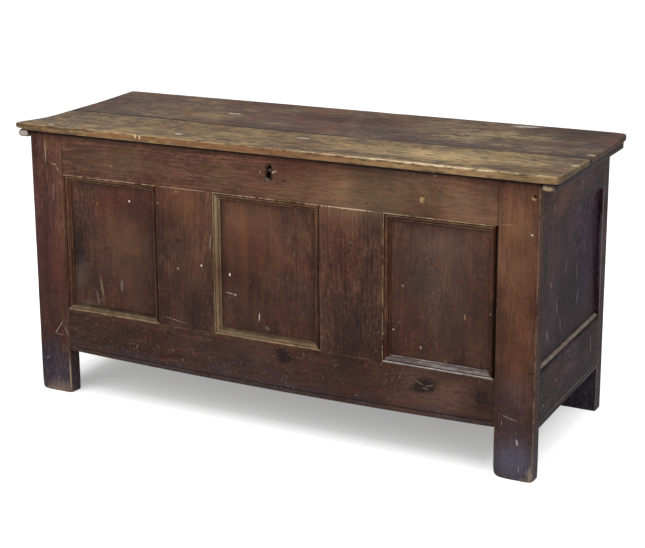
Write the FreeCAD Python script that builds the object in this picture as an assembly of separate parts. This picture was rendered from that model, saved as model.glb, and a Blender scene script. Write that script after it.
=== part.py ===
import FreeCAD, Part
import os
from FreeCAD import Rotation, Vector

# A joined oak chest: pegged frames with grooved-in panels, nailed floor boards, a lid of two boards on iron
# strap hinges, and a chest lock. Millimetres. +Z is up, the front faces -Y and the origin is on the floor,
# under the middle of the chest.

# The frames
CHEST_WIDTH = 1300.0
CHEST_DEPTH = 500.0
CHEST_HEIGHT = 666.0
FOOT_HEIGHT = 115.0
FOOT_CHAMFER = 3.0
STILE_WIDTH = 90.0
STILE_THICKNESS = 38.0
FRONT_RAIL_THICKNESS = 30.0
SIDE_RAIL_THICKNESS = 28.0
REAR_RAIL_THICKNESS = 26.0
FRONT_TOP_RAIL_HEIGHT = 102.0
FRONT_BOTTOM_RAIL_HEIGHT = 107.0
SIDE_TOP_RAIL_HEIGHT = 105.0
SIDE_BOTTOM_RAIL_HEIGHT = 135.0
REAR_TOP_RAIL_HEIGHT = 90.0
REAR_BOTTOM_RAIL_HEIGHT = 100.0
MUNTIN_WIDTH = 154.0
MUNTIN_CENTRE = 216.0

# The bellied lower edge of the front bottom rail, and the line scratched along it
RAIL_BELLY = 8.0
SCRATCH_RISE = 12.0
SCRATCH_WIDTH = 2.0
SCRATCH_DEPTH = 1.5

# The bevel that runs along the top of each side's bottom rail
SIDE_RAIL_BEVEL = 9.0

# Joints in the frames
JOINT_SETBACK = 12.0
TENON_THICKNESS = 9.0
TENON_SHOULDER = 12.0
FRONT_TENON_LENGTH = 50.0
SIDE_TENON_LENGTH = 26.0
MUNTIN_TENON_LENGTH = 35.0
MUNTIN_TENON_SHOULDER = 15.0
JOINT_CLEARANCE = 0.2
MORTISE_END_CLEARANCE = 1.0

# Panels and the grooves that hold them
GROOVE_WIDTH = 8.0
GROOVE_DEPTH = 10.0
PANEL_PLAY = 0.2
PANEL_EDGE_CLEARANCE = 1.5
PANEL_THICKNESS = 11.0
PANEL_BEVEL = 25.0

# Mouldings round the front panels
MOULDING_WIDTH = 16.0
MOULDING_SETBACK = 1.5
MOULDING_FLAT = 3.0
MOULDING_LIP = 2.0
MOULDING_BULGE = 1.6
MOULDING_REST_CLEARANCE = 0.1
SHRINKAGE_GAP = 5.0

# Drawbore pegs
PEG_RADIUS = 4.0
PEG_CLEARANCE = 0.06
PEG_PROUD = 0.5
PEG_FROM_SHOULDER = 13.0
PEG_STOP = 2.0
SIDE_PEG_LENGTH = 31.0
PEG_FROM_EDGE = 24.0
PEG_SPACING = 40.0
FRONT_LEFT_PEG_FROM_EDGE = 28.0
FRONT_LEFT_PEG_SPACING = 20.0
FRONT_RIGHT_PEG_FROM_EDGE = 20.0
FRONT_RIGHT_PEG_SPACING = 38.0
MUNTIN_PEG_SPACING = 76.0
MUNTIN_PEG_FROM_SHOULDER = 16.0

# Floor
FLOOR_THICKNESS = 14.0
FLOOR_BOARD_COUNT = 4
FLOOR_BOARD_GAP = 1.0
FLOOR_CLEARANCE = 1.0
LEDGER_WIDTH = 20.0
LEDGER_HEIGHT = 20.0
LEDGER_END_CLEARANCE = 2.0

# Lid
LID_THICKNESS = 18.0
LID_DISH = 6.0
LID_END_OVERHANG = 39.0
LID_FRONT_OVERHANG = 9.6
LID_REAR_SETBACK = 2.0
LID_JOINT_FROM_FRONT = 224.0
LID_JOINT_GAP = 0.3
LID_EDGE_RADIUS = 2.5
CLEAT_WIDTH = 32.0
CLEAT_HEIGHT = 18.0
CLEAT_SIDE_CLEARANCE = 2.0
CLEAT_FRONT_INSET = 3.0
CLEAT_REAR_INSET = 6.0
CLEAT_EDGE_RADIUS = 5.0

# Strap hinges
IRON_THICKNESS = 2.4
HINGE_FROM_END = 220.0
HINGE_GAP = 0.3
PIN_RADIUS = 2.2
PIN_CLEARANCE = 0.05
PIN_HEAD_RADIUS = 3.4
PIN_HEAD_LENGTH = 1.6
PIN_END_PLAY = 0.2
STRAP_KNUCKLE_LENGTH = 15.0
LEAF_KNUCKLE_LENGTH = 14.0
KNUCKLE_PLAY = 0.3
STRAP_WIDTH = 26.0
STRAP_TIP_WIDTH = 12.0
STRAP_LENGTH = 330.0
STRAP_REAR_SETBACK = 0.6
STRAP_HOUSING_CLEARANCE = 0.5
STRAP_HOUSING_FLOOR = 0.3
LEAF_HEIGHT = 70.0

# Lock
LOCK_CENTRE = 12.0
LOCK_WALL = 2.0
LOCK_CASE_WIDTH = 72.0
LOCK_CASE_HEIGHT = 62.0
LOCK_CASE_DEPTH = 18.0
LOCK_RECESS_CLEARANCE = 0.3
LOCK_PLATE_MARGIN = 16.0
LOCK_PLATE_TOP_INSET = 3.0
KEYHOLE_TOP = 24.0
KEYHOLE_HEIGHT = 32.0
KEYHOLE_TOP_RADIUS = 3.0
KEYHOLE_BOTTOM_RADIUS = 5.0
DRILL_PIN_DROP = 36.0
DRILL_PIN_RADIUS = 2.0
DRILL_PIN_SETBACK = 4.0
BOLT_THICKNESS = 5.0
BOLT_HEIGHT = 8.0
BOLT_LENGTH = 27.0
BOLT_CLEARANCE = 0.15
BOLT_DRAWN_GAP = 3.0
BOLT_DROP = 18.0
BOLT_NOTCH = 5.0
BOLT_NOTCH_DEPTH = 2.0
BOLT_NOTCH_FROM_TAIL = 6.0
GUIDE_LENGTH = 6.0
GUIDE_FROM_NOSE = 3.0
GUIDE_WALL = 3.0

# Hasp under the lid
HASP_THICKNESS = 4.0
HASP_WIDTH = 12.0
HASP_EYE_WIDTH = 7.6
HASP_EYE_HEIGHT = 12.0
HASP_BELOW_EYE = 4.0
HASP_SIDE_CLEARANCE = 1.2
HASP_PLATE_WIDTH = 24.0
HASP_PLATE_THICKNESS = 2.0
HASP_PLATE_AHEAD = 8.0
HASP_PLATE_BEHIND = 104.0
HASP_RECESS_CLEARANCE = 0.2

# Forged nails
NAIL_SHANK = 3.0
NAIL_HEAD_RADIUS = 4.5
NAIL_HEAD_TOP_RADIUS = 1.4
NAIL_HEAD_HEIGHT = 1.6
NAIL_CLEARANCE = 0.05
FLOOR_NAIL_LENGTH = 30.0
FLOOR_NAIL_FROM_EDGE = 75.0
LEDGER_NAIL_LENGTH = 32.0
LEDGER_NAIL_FROM_END = 78.0
LEDGER_NAIL_COUNT = 4
LEAF_NAIL_LENGTH = 20.0
LEAF_NAIL_SPACING_X = 26.0
LEAF_NAIL_SPACING_Z = 34.0
LEAF_NAIL_DROP = 20.0
STRAP_NAIL_LENGTH = 11.0
STRAP_NAIL_SPACING = 84.0
STRAP_NAIL_COUNT = 4
STRAP_NAIL_FROM_REAR = 48.0
CLEAT_NAIL_LENGTH = 27.0
CLEAT_NAIL_FROM_END = 33.0
CLEAT_NAIL_COUNT = 5
LOCK_NAIL_LENGTH = 16.0
LOCK_NAIL_INSET = 8.0
HASP_NAIL_LENGTH = 11.0
HASP_NAIL_SPACING = 46.0
HASP_NAIL_FROM_END = 12.0

# Planes and lines that several pieces share
HALF_WIDTH = CHEST_WIDTH / 2
HALF_DEPTH = CHEST_DEPTH / 2
LID_FRONT = -HALF_DEPTH - LID_FRONT_OVERHANG
LID_REAR = HALF_DEPTH - LID_REAR_SETBACK
LID_HALF_LENGTH = HALF_WIDTH + LID_END_OVERHANG
LID_JOINT = LID_FRONT + LID_JOINT_FROM_FRONT
KNUCKLE_RADIUS = PIN_RADIUS + PIN_CLEARANCE + IRON_THICKNESS
HINGE_CENTRE = HALF_WIDTH - HINGE_FROM_END
HINGE_Y = HALF_DEPTH + HINGE_GAP + KNUCKLE_RADIUS
HINGE_Z = CHEST_HEIGHT - KNUCKLE_RADIUS
HINGE_HALF_LENGTH = STRAP_KNUCKLE_LENGTH / 2 + KNUCKLE_PLAY + LEAF_KNUCKLE_LENGTH
FLOOR_TOP = FOOT_HEIGHT + LEDGER_HEIGHT + FLOOR_THICKNESS
LEDGER_HALF_LENGTH = HALF_WIDTH - STILE_WIDTH - LEDGER_END_CLEARANCE
CLEAT_FRONT = LID_FRONT + CLEAT_FRONT_INSET
CLEAT_REAR = LID_REAR - CLEAT_REAR_INSET
FRONT_RAIL_INSIDE = -HALF_DEPTH + FRONT_RAIL_THICKNESS
REAR_RAIL_INSIDE = HALF_DEPTH - REAR_RAIL_THICKNESS
LOCK_CASE_FRONT = FRONT_RAIL_INSIDE - LOCK_CASE_DEPTH
LOCK_CASE_TOP = CHEST_HEIGHT - LOCK_RECESS_CLEARANCE
LOCK_CASE_BOTTOM = LOCK_CASE_TOP - LOCK_CASE_HEIGHT
HASP_Y = FRONT_RAIL_INSIDE - (LOCK_CASE_DEPTH - LOCK_WALL) / 2
BOLT_Z = CHEST_HEIGHT - BOLT_DROP
BOLT_NOSE = LOCK_CENTRE - HASP_THICKNESS / 2 - BOLT_DRAWN_GAP
ORIGIN_Y = (LID_FRONT + HINGE_Y + KNUCKLE_RADIUS) / 2

SIDES = {"left": -1, "right": 1}


def box(x_low, x_high, y_low, y_high, z_low, z_high):
    """A block between two corners."""
    corner = Vector(x_low, y_low, z_low)
    return Part.makeBox(x_high - x_low, y_high - y_low, z_high - z_low, corner)


def prism(points, direction):
    """A flat outline of points, pulled along a direction."""
    outline = Part.makePolygon(points + points[:1])
    return Part.Face(outline).extrude(direction)


def joined(shapes):
    """One solid from shapes that meet."""
    whole = shapes[0].fuse(shapes[1:])
    return whole.removeSplitter()


def evenly(count, spacing):
    """Positions about zero, a spacing apart."""
    first = -(count - 1) * spacing / 2
    return [first + number * spacing for number in range(count)]


def spread(count, first, last):
    """Positions at equal steps from the first to the last."""
    return [first + number * (last - first) / (count - 1) for number in range(count)]


class Nail:
    """A forged nail: a faceted head on the surface and a square shank below it."""

    def __init__(self, x, y, z, direction, length):
        self.turn = Rotation(Vector(0, 0, -1), direction)
        self.place = FreeCAD.Placement(Vector(x, y, z), self.turn)
        self.length = length

    def shank(self, clearance):
        half = NAIL_SHANK / 2 + clearance
        return box(-half, half, -half, half, -self.length - clearance, NAIL_HEAD_HEIGHT / 2)

    def solid(self):
        head = Part.makeCone(NAIL_HEAD_RADIUS, NAIL_HEAD_TOP_RADIUS, NAIL_HEAD_HEIGHT)
        nail = joined([head, self.shank(0.0)])
        nail.Placement = self.place
        return nail

    def hole(self):
        hole = self.shank(NAIL_CLEARANCE)
        hole.Placement = self.place
        return hole


class Wall:
    """One framed side of the chest. It is described as the front, facing -Y, and then turned into place."""

    def __init__(self, name, turn, face, half_opening, rail_thickness, rail_heights, tenon_length,
                 peg_length, peg_pairs, muntin_centres, opening_names):
        self.name = name
        self.turn = turn
        self.face = -face
        self.half_opening = half_opening
        self.rail_thickness = rail_thickness
        self.low_edge = FOOT_HEIGHT + rail_heights["bottom"]
        self.high_edge = CHEST_HEIGHT - rail_heights["top"]
        self.tenon_length = tenon_length
        self.peg_length = peg_length
        self.peg_pairs = peg_pairs
        self.muntin_centres = muntin_centres
        self.opening_names = opening_names
        self.joint_face = self.face + JOINT_SETBACK

    def placed(self, shape):
        """The shape, turned from the front to where this wall is."""
        shape.rotate(Vector(0, 0, 0), Vector(0, 0, 1), self.turn)
        return shape

    def rail_span(self, level):
        """Low and high edge of the top or the bottom rail."""
        if level == "top":
            return self.high_edge, CHEST_HEIGHT
        return FOOT_HEIGHT, self.low_edge

    def tenon_bar(self, level, clearance, end_clearance):
        """The bar that a rail's two tenons are the ends of."""
        low, high = self.rail_span(level)
        reach = self.half_opening + self.tenon_length + end_clearance
        return box(-reach, reach,
                   self.joint_face - clearance, self.joint_face + TENON_THICKNESS + clearance,
                   low + TENON_SHOULDER - clearance, high - TENON_SHOULDER + clearance)

    def muntin_bar(self, centre, clearance, end_clearance):
        """The bar that a muntin's two tenons are the ends of."""
        half = MUNTIN_WIDTH / 2 - MUNTIN_TENON_SHOULDER + clearance
        reach = MUNTIN_TENON_LENGTH + end_clearance
        return box(centre - half, centre + half,
                   self.joint_face - clearance, self.joint_face + TENON_THICKNESS + clearance,
                   self.low_edge - reach, self.high_edge + reach)

    def openings(self):
        """Left and right edge of each opening between stiles and muntins, by name."""
        edges = [-self.half_opening]
        for centre in self.muntin_centres:
            edges += [centre - MUNTIN_WIDTH / 2, centre + MUNTIN_WIDTH / 2]
        edges.append(self.half_opening)
        pairs = zip(edges[0::2], edges[1::2])
        return dict(zip(self.opening_names, pairs))

    def groove_slots(self):
        """A slot for each panel, which leaves grooves in the pieces round it."""
        slots = []
        for left, right in self.openings().values():
            slots.append(box(left - GROOVE_DEPTH, right + GROOVE_DEPTH,
                             self.joint_face, self.joint_face + GROOVE_WIDTH,
                             self.low_edge - GROOVE_DEPTH, self.high_edge + GROOVE_DEPTH))
        return slots

    def peg_spots(self):
        """Where the pegs go in: across each rail's tenons and each muntin's tenons."""
        spots = []
        for side, sign in SIDES.items():
            across = sign * (self.half_opening + PEG_FROM_SHOULDER)
            from_edge, spacing = self.peg_pairs[side]
            for inset in (from_edge, from_edge + spacing):
                spots.append((across, self.high_edge + inset))
                spots.append((across, self.low_edge - inset))
        for centre in self.muntin_centres:
            for offset in evenly(2, MUNTIN_PEG_SPACING):
                spots.append((centre + offset, self.high_edge + MUNTIN_PEG_FROM_SHOULDER))
                spots.append((centre + offset, self.low_edge - MUNTIN_PEG_FROM_SHOULDER))
        return spots

    def pegs(self, radius, proud, extra):
        """Round pegs, or with a larger radius the holes they sit in."""
        pegs = []
        for across, height in self.peg_spots():
            reach = self.peg_length
            if abs(across) < self.half_opening:
                reach = self.rail_thickness - PEG_STOP
            start = Vector(across, self.face - proud, height)
            pegs.append(Part.makeCylinder(radius, reach + proud + extra, start, Vector(0, 1, 0)))
        return pegs

    def peg_holes(self):
        return self.pegs(PEG_RADIUS + PEG_CLEARANCE, 1.0 + PEG_PROUD, PEG_CLEARANCE)

    def rail(self, level):
        """A rail with its tenons, grooves, muntin mortises and peg holes."""
        low, high = self.rail_span(level)
        body = box(-self.half_opening, self.half_opening,
                   self.face, self.face + self.rail_thickness, low, high)
        rail = joined([body, self.tenon_bar(level, 0.0, 0.0)])
        mortises = [self.muntin_bar(centre, JOINT_CLEARANCE, MORTISE_END_CLEARANCE)
                    for centre in self.muntin_centres]
        return rail.cut(mortises + self.groove_slots() + self.peg_holes())

    def muntin(self, centre):
        """An upright between the rails, tenoned at both ends and grooved at both edges."""
        half = MUNTIN_WIDTH / 2
        body = box(centre - half, centre + half,
                   self.face, self.face + self.rail_thickness, self.low_edge, self.high_edge)
        muntin = joined([body, self.muntin_bar(centre, 0.0, 0.0)])
        return muntin.cut(self.groove_slots() + self.peg_holes())

    def panel(self, left, right):
        """A panel whose thin edge sits in the grooves, bevelled on the inside up to its full thickness."""
        reach = GROOVE_DEPTH - PANEL_EDGE_CLEARANCE
        x_low = left - reach
        x_high = right + reach
        z_low = self.low_edge - GROOVE_DEPTH
        z_high = self.high_edge + reach
        front = self.joint_face + PANEL_PLAY
        shoulder = self.joint_face + GROOVE_WIDTH - PANEL_PLAY
        edge = box(x_low, x_high, front, shoulder, z_low, z_high)
        low, high = self.low_edge, self.high_edge
        field = Part.makeWedge(left, shoulder, low, low + PANEL_BEVEL, left + PANEL_BEVEL,
                               right, front + PANEL_THICKNESS, high, high - PANEL_BEVEL, right - PANEL_BEVEL)
        return joined([edge, field])

    def moulding(self, left, right, side):
        """One mitred stick of the moulding round a panel, flat against the frame."""
        seat = self.joint_face + PANEL_PLAY - MOULDING_REST_CLEARANCE
        height = JOINT_SETBACK - MOULDING_SETBACK
        low, high = self.low_edge, self.high_edge
        starts = {"left": (left, low), "right": (right, low), "bottom": (left, low), "top": (left, high)}
        ends = {"left": (left, high), "right": (right, high), "bottom": (right, low), "top": (right, high)}
        inwards = {"left": (1, 0), "right": (-1, 0), "bottom": (0, 1), "top": (0, -1)}
        start_x, start_z = starts[side]
        end_x, end_z = ends[side]
        inward_x, inward_z = inwards[side]

        def point(across, rise):
            return Vector(start_x + inward_x * across, seat - rise, start_z + inward_z * across)

        flat_end = point(MOULDING_FLAT, height)
        lip = point(MOULDING_WIDTH, MOULDING_LIP)
        bulge = point((MOULDING_FLAT + MOULDING_WIDTH) / 2 + MOULDING_BULGE,
                      (height + MOULDING_LIP) / 2 + MOULDING_BULGE)
        square = Part.makePolygon([lip, point(MOULDING_WIDTH, 0.0), point(0.0, 0.0),
                                   point(0.0, height), flat_end])
        ovolo = Part.Arc(flat_end, bulge, lip).toShape()
        outline = Part.Wire(square.Edges + [ovolo])
        stick = Part.Face(outline).extrude(Vector(end_x - start_x, 0, end_z - start_z))

        def mitred(x, z):
            toward_x = MOULDING_WIDTH if x == left else -MOULDING_WIDTH
            toward_z = MOULDING_WIDTH if z == low else -MOULDING_WIDTH
            return Vector(x + toward_x, self.face, z + toward_z)

        corners = [Vector(start_x, self.face, start_z), Vector(end_x, self.face, end_z),
                   mitred(end_x, end_z), mitred(start_x, start_z)]
        return stick.common(prism(corners, Vector(0, JOINT_SETBACK + PANEL_PLAY, 0)))


def make_walls():
    """The four sides, in the order they follow each other round the chest from the front to the right."""
    front_pairs = {"left": (FRONT_LEFT_PEG_FROM_EDGE, FRONT_LEFT_PEG_SPACING),
                   "right": (FRONT_RIGHT_PEG_FROM_EDGE, FRONT_RIGHT_PEG_SPACING)}
    other_pairs = {"left": (PEG_FROM_EDGE, PEG_SPACING), "right": (PEG_FROM_EDGE, PEG_SPACING)}
    front_heights = {"top": FRONT_TOP_RAIL_HEIGHT, "bottom": FRONT_BOTTOM_RAIL_HEIGHT}
    side_heights = {"top": SIDE_TOP_RAIL_HEIGHT, "bottom": SIDE_BOTTOM_RAIL_HEIGHT}
    rear_heights = {"top": REAR_TOP_RAIL_HEIGHT, "bottom": REAR_BOTTOM_RAIL_HEIGHT}
    long_half_opening = HALF_WIDTH - STILE_WIDTH
    short_half_opening = HALF_DEPTH - STILE_THICKNESS
    peg_length = STILE_THICKNESS - PEG_STOP
    muntins = [-MUNTIN_CENTRE, MUNTIN_CENTRE]
    front = Wall("front", 0, HALF_DEPTH, long_half_opening, FRONT_RAIL_THICKNESS, front_heights,
                 FRONT_TENON_LENGTH, peg_length, front_pairs, muntins, ["left", "centre", "right"])
    right = Wall("side_right", 90, HALF_WIDTH, short_half_opening, SIDE_RAIL_THICKNESS, side_heights,
                 SIDE_TENON_LENGTH, SIDE_PEG_LENGTH, other_pairs, [], ["whole"])
    rear = Wall("rear", 180, HALF_DEPTH, long_half_opening, REAR_RAIL_THICKNESS, rear_heights,
                FRONT_TENON_LENGTH, peg_length, other_pairs, muntins, ["right", "centre", "left"])
    left = Wall("side_left", 270, HALF_WIDTH, short_half_opening, SIDE_RAIL_THICKNESS, side_heights,
                SIDE_TENON_LENGTH, SIDE_PEG_LENGTH, other_pairs, [], ["whole"])
    return [front, right, rear, left]


def stile_block(x_side, y_side, clearance):
    """The square timber of one stile, or the space it needs."""
    x_outer = x_side * (HALF_WIDTH + clearance)
    x_inner = x_side * (HALF_WIDTH - STILE_WIDTH - clearance)
    y_outer = y_side * (HALF_DEPTH + clearance)
    y_inner = y_side * (HALF_DEPTH - STILE_THICKNESS - clearance)
    return box(min(x_outer, x_inner), max(x_outer, x_inner),
               min(y_outer, y_inner), max(y_outer, y_inner), -clearance, CHEST_HEIGHT)


def make_stile(x_side, y_side, walls):
    """A corner post that is also the foot, with its mortises, grooves, peg holes and worn foot edges."""
    stile = stile_block(x_side, y_side, 0.0)
    foot_edges = [edge for edge in stile.Edges if edge.BoundBox.ZMax < FOOT_CHAMFER]
    stile = stile.makeChamfer(FOOT_CHAMFER, foot_edges)
    cuts = []
    for wall in walls:
        for level in ("top", "bottom"):
            cuts.append(wall.placed(wall.tenon_bar(level, JOINT_CLEARANCE, MORTISE_END_CLEARANCE)))
        cuts += [wall.placed(slot) for slot in wall.groove_slots()]
        cuts += [wall.placed(hole) for hole in wall.peg_holes()]
    return stile.cut(cuts)


def make_frames(walls):
    """Stiles, rails, muntins and panels of all four walls."""
    pieces = {}
    for y_name, y_side in {"front": -1, "rear": 1}.items():
        for x_name, x_side in SIDES.items():
            pieces[f"stile_{y_name}_{x_name}"] = make_stile(x_side, y_side, walls)
    for wall in walls:
        for level in ("top", "bottom"):
            pieces[f"rail_{wall.name}_{level}"] = wall.placed(wall.rail(level))
        for name, centre in zip(("left", "right"), sorted(wall.muntin_centres)):
            pieces[f"muntin_{wall.name}_{name}"] = wall.placed(wall.muntin(centre))
        for name, (left, right) in wall.openings().items():
            suffix = "" if name == "whole" else f"_{name}"
            pieces[f"panel_{wall.name}{suffix}"] = wall.placed(wall.panel(left, right))
    return pieces


def arc_band(rise, width, depth):
    """A band between two arcs that follow the bellied lower edge of the front bottom rail."""
    half = HALF_WIDTH - STILE_WIDTH
    ends = FOOT_HEIGHT + rise

    def arc(lift):
        return Part.Arc(Vector(-half, -HALF_DEPTH, ends + lift),
                        Vector(0, -HALF_DEPTH, ends + lift - RAIL_BELLY),
                        Vector(half, -HALF_DEPTH, ends + lift)).toShape()

    low, high = arc(0.0), arc(width)
    left = Part.makeLine(Vector(-half, -HALF_DEPTH, ends), Vector(-half, -HALF_DEPTH, ends + width))
    right = Part.makeLine(Vector(half, -HALF_DEPTH, ends), Vector(half, -HALF_DEPTH, ends + width))
    outline = Part.Wire([low, right, high, left])
    return Part.Face(outline).extrude(Vector(0, depth, 0))


def shape_bottom_rail(rail):
    """The belly below the front bottom rail and the line scratched above its lower edge."""
    bellied = joined([rail, arc_band(0.0, RAIL_BELLY, FRONT_RAIL_THICKNESS)])
    return bellied.cut(arc_band(SCRATCH_RISE, SCRATCH_WIDTH, SCRATCH_DEPTH))


def shape_side_rail(rail, wall):
    """The bevel along the top outer edge of a side's bottom rail, between the stiles."""
    half = wall.half_opening
    bevel = prism([Vector(-half, wall.face, wall.low_edge),
                   Vector(-half, wall.face + SIDE_RAIL_BEVEL, wall.low_edge),
                   Vector(-half, wall.face, wall.low_edge - SIDE_RAIL_BEVEL)], Vector(2 * half, 0, 0))
    return rail.cut(wall.placed(bevel))


def keyhole(y_low, y_high):
    """The keyhole: round at the bottom, tapering to a narrower round top."""
    top = CHEST_HEIGHT - KEYHOLE_TOP - KEYHOLE_TOP_RADIUS
    bottom = CHEST_HEIGHT - KEYHOLE_TOP - KEYHOLE_HEIGHT + KEYHOLE_BOTTOM_RADIUS
    depth = Vector(0, y_high - y_low, 0)
    taper = prism([Vector(LOCK_CENTRE - KEYHOLE_BOTTOM_RADIUS, y_low, bottom),
                   Vector(LOCK_CENTRE + KEYHOLE_BOTTOM_RADIUS, y_low, bottom),
                   Vector(LOCK_CENTRE + KEYHOLE_TOP_RADIUS, y_low, top),
                   Vector(LOCK_CENTRE - KEYHOLE_TOP_RADIUS, y_low, top)], depth)
    rounds = [Part.makeCylinder(KEYHOLE_BOTTOM_RADIUS, depth.y, Vector(LOCK_CENTRE, y_low, bottom), depth),
              Part.makeCylinder(KEYHOLE_TOP_RADIUS, depth.y, Vector(LOCK_CENTRE, y_low, top), depth)]
    return joined([taper] + rounds)


def case_block(clearance):
    """The space that the lock case takes in the back of the front top rail."""
    half = LOCK_CASE_WIDTH / 2 + clearance
    return box(LOCK_CENTRE - half, LOCK_CENTRE + half, LOCK_CASE_FRONT - clearance, FRONT_RAIL_INSIDE,
               LOCK_CASE_BOTTOM - clearance, LOCK_CASE_TOP + clearance)


def hasp_box(clearance, y_clearance, z_low, z_high):
    """The upright part of the hasp, or the slot it drops through."""
    half = HASP_THICKNESS / 2 + clearance
    half_width = HASP_WIDTH / 2 + y_clearance
    return box(LOCK_CENTRE - half, LOCK_CENTRE + half,
               HASP_Y - half_width, HASP_Y + half_width, z_low, z_high)


def bolt_bar(clearance, x_low, x_high):
    """A length of the lock's bolt, or the passage it slides in."""
    half_thickness = BOLT_THICKNESS / 2 + clearance
    half_height = BOLT_HEIGHT / 2 + clearance
    return box(x_low, x_high, HASP_Y - half_thickness, HASP_Y + half_thickness,
               BOLT_Z - half_height, BOLT_Z + half_height)


def make_lock_case():
    """The iron case: four sides and a front with the keyhole, a slot on top and a guide for the bolt."""
    half = LOCK_CASE_WIDTH / 2 - LOCK_WALL
    hollow = box(LOCK_CENTRE - half, LOCK_CENTRE + half, LOCK_CASE_FRONT + LOCK_WALL, FRONT_RAIL_INSIDE,
                 LOCK_CASE_BOTTOM + LOCK_WALL, LOCK_CASE_TOP - LOCK_WALL)
    shell = case_block(0.0).cut(hollow)
    slot = hasp_box(HASP_SIDE_CLEARANCE, HASP_SIDE_CLEARANCE, LOCK_CASE_TOP - 2 * LOCK_WALL, LOCK_CASE_TOP)
    shell = shell.cut([slot, keyhole(LOCK_CASE_FRONT, LOCK_CASE_FRONT + LOCK_WALL)])
    guide_end = BOLT_NOSE - GUIDE_FROM_NOSE
    guide_reach = BOLT_HEIGHT / 2 + BOLT_CLEARANCE + GUIDE_WALL
    guide = box(guide_end - GUIDE_LENGTH, guide_end, LOCK_CASE_FRONT + LOCK_WALL / 2,
                HASP_Y + BOLT_THICKNESS / 2 + GUIDE_WALL, BOLT_Z - guide_reach, BOLT_Z + guide_reach)
    passage = bolt_bar(BOLT_CLEARANCE, guide_end - GUIDE_LENGTH, guide_end)
    return joined([shell, guide]).cut(passage)


def make_lock_plate(nails):
    """The plate inside the chest that carries the case and the drill pin the key turns on."""
    half = LOCK_CASE_WIDTH / 2 + LOCK_PLATE_MARGIN
    plate = box(LOCK_CENTRE - half, LOCK_CENTRE + half, FRONT_RAIL_INSIDE, FRONT_RAIL_INSIDE + LOCK_WALL,
                LOCK_CASE_BOTTOM - LOCK_PLATE_MARGIN / 2, CHEST_HEIGHT - LOCK_PLATE_TOP_INSET)
    pin_tip = Vector(LOCK_CENTRE, -HALF_DEPTH + DRILL_PIN_SETBACK, CHEST_HEIGHT - DRILL_PIN_DROP)
    pin_length = FRONT_RAIL_INSIDE + LOCK_WALL / 2 - pin_tip.y
    pin = Part.makeCylinder(DRILL_PIN_RADIUS, pin_length, pin_tip, Vector(0, 1, 0))
    return joined([plate, pin]).cut([nail.hole() for nail in nails])


def make_lock_bolt():
    """The bolt, drawn back, with the notch that the key's bit works in."""
    bolt = bolt_bar(0.0, BOLT_NOSE - BOLT_LENGTH, BOLT_NOSE)
    notch_start = BOLT_NOSE - BOLT_LENGTH + BOLT_NOTCH_FROM_TAIL
    underside = BOLT_Z - BOLT_HEIGHT / 2
    notch = box(notch_start, notch_start + BOLT_NOTCH, HASP_Y - BOLT_THICKNESS, HASP_Y + BOLT_THICKNESS,
                underside, underside + BOLT_NOTCH_DEPTH)
    return bolt.cut(notch)


def hasp_plate(clearance, depth):
    """The hasp's plate, let into the underside of the lid, or the recess for it."""
    half = HASP_PLATE_WIDTH / 2 + clearance
    return box(LOCK_CENTRE - half, LOCK_CENTRE + half,
               HASP_Y - HASP_PLATE_AHEAD - clearance, HASP_Y + HASP_PLATE_BEHIND + clearance,
               CHEST_HEIGHT, CHEST_HEIGHT + depth)


def make_hasp(nails):
    """The hasp: a plate nailed up into the lid and an eye that hangs into the lock."""
    foot = BOLT_Z - HASP_EYE_HEIGHT / 2 - HASP_BELOW_EYE
    upright = hasp_box(0.0, 0.0, foot, CHEST_HEIGHT + HASP_PLATE_THICKNESS / 2)
    eye = box(LOCK_CENTRE - HASP_THICKNESS, LOCK_CENTRE + HASP_THICKNESS,
              HASP_Y - HASP_EYE_WIDTH / 2, HASP_Y + HASP_EYE_WIDTH / 2,
              BOLT_Z - HASP_EYE_HEIGHT / 2, BOLT_Z + HASP_EYE_HEIGHT / 2)
    hasp = joined([hasp_plate(0.0, HASP_PLATE_THICKNESS), upright])
    return hasp.cut([eye] + [nail.hole() for nail in nails])


def strap_plan(centre, margin, thickness, top):
    """The strap's outline from above, from its knuckle's neck to its round tip."""
    half = STRAP_WIDTH / 2 + margin
    tip = STRAP_TIP_WIDTH / 2 + margin
    rear = HALF_DEPTH - STRAP_REAR_SETBACK
    tip_y = rear - STRAP_LENGTH
    level = top - thickness
    sides = Part.makePolygon([Vector(centre - tip, tip_y, level), Vector(centre - half, rear, level),
                              Vector(centre + half, rear, level), Vector(centre + tip, tip_y, level)])
    nose = Part.Arc(Vector(centre + tip, tip_y, level), Vector(centre, tip_y - tip, level),
                    Vector(centre - tip, tip_y, level)).toShape()
    return Part.Face(Part.Wire(sides.Edges + [nose])).extrude(Vector(0, 0, thickness))


def hinge_round(radius, centre, half_length):
    """A cylinder about the hinge line."""
    start = Vector(centre - half_length, HINGE_Y, HINGE_Z)
    return Part.makeCylinder(radius, 2 * half_length, start, Vector(1, 0, 0))


def make_strap(centre, nails):
    """The strap under the lid, rolled round the pin at its rear end."""
    half = STRAP_KNUCKLE_LENGTH / 2
    neck = box(centre - half, centre + half, HALF_DEPTH - 2 * STRAP_REAR_SETBACK, HINGE_Y,
               CHEST_HEIGHT - IRON_THICKNESS, CHEST_HEIGHT)
    strap = joined([strap_plan(centre, 0.0, IRON_THICKNESS, CHEST_HEIGHT), neck,
                    hinge_round(KNUCKLE_RADIUS, centre, half)])
    bore = hinge_round(PIN_RADIUS + PIN_CLEARANCE, centre, half)
    return strap.cut([bore] + [nail.hole() for nail in nails])


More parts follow.
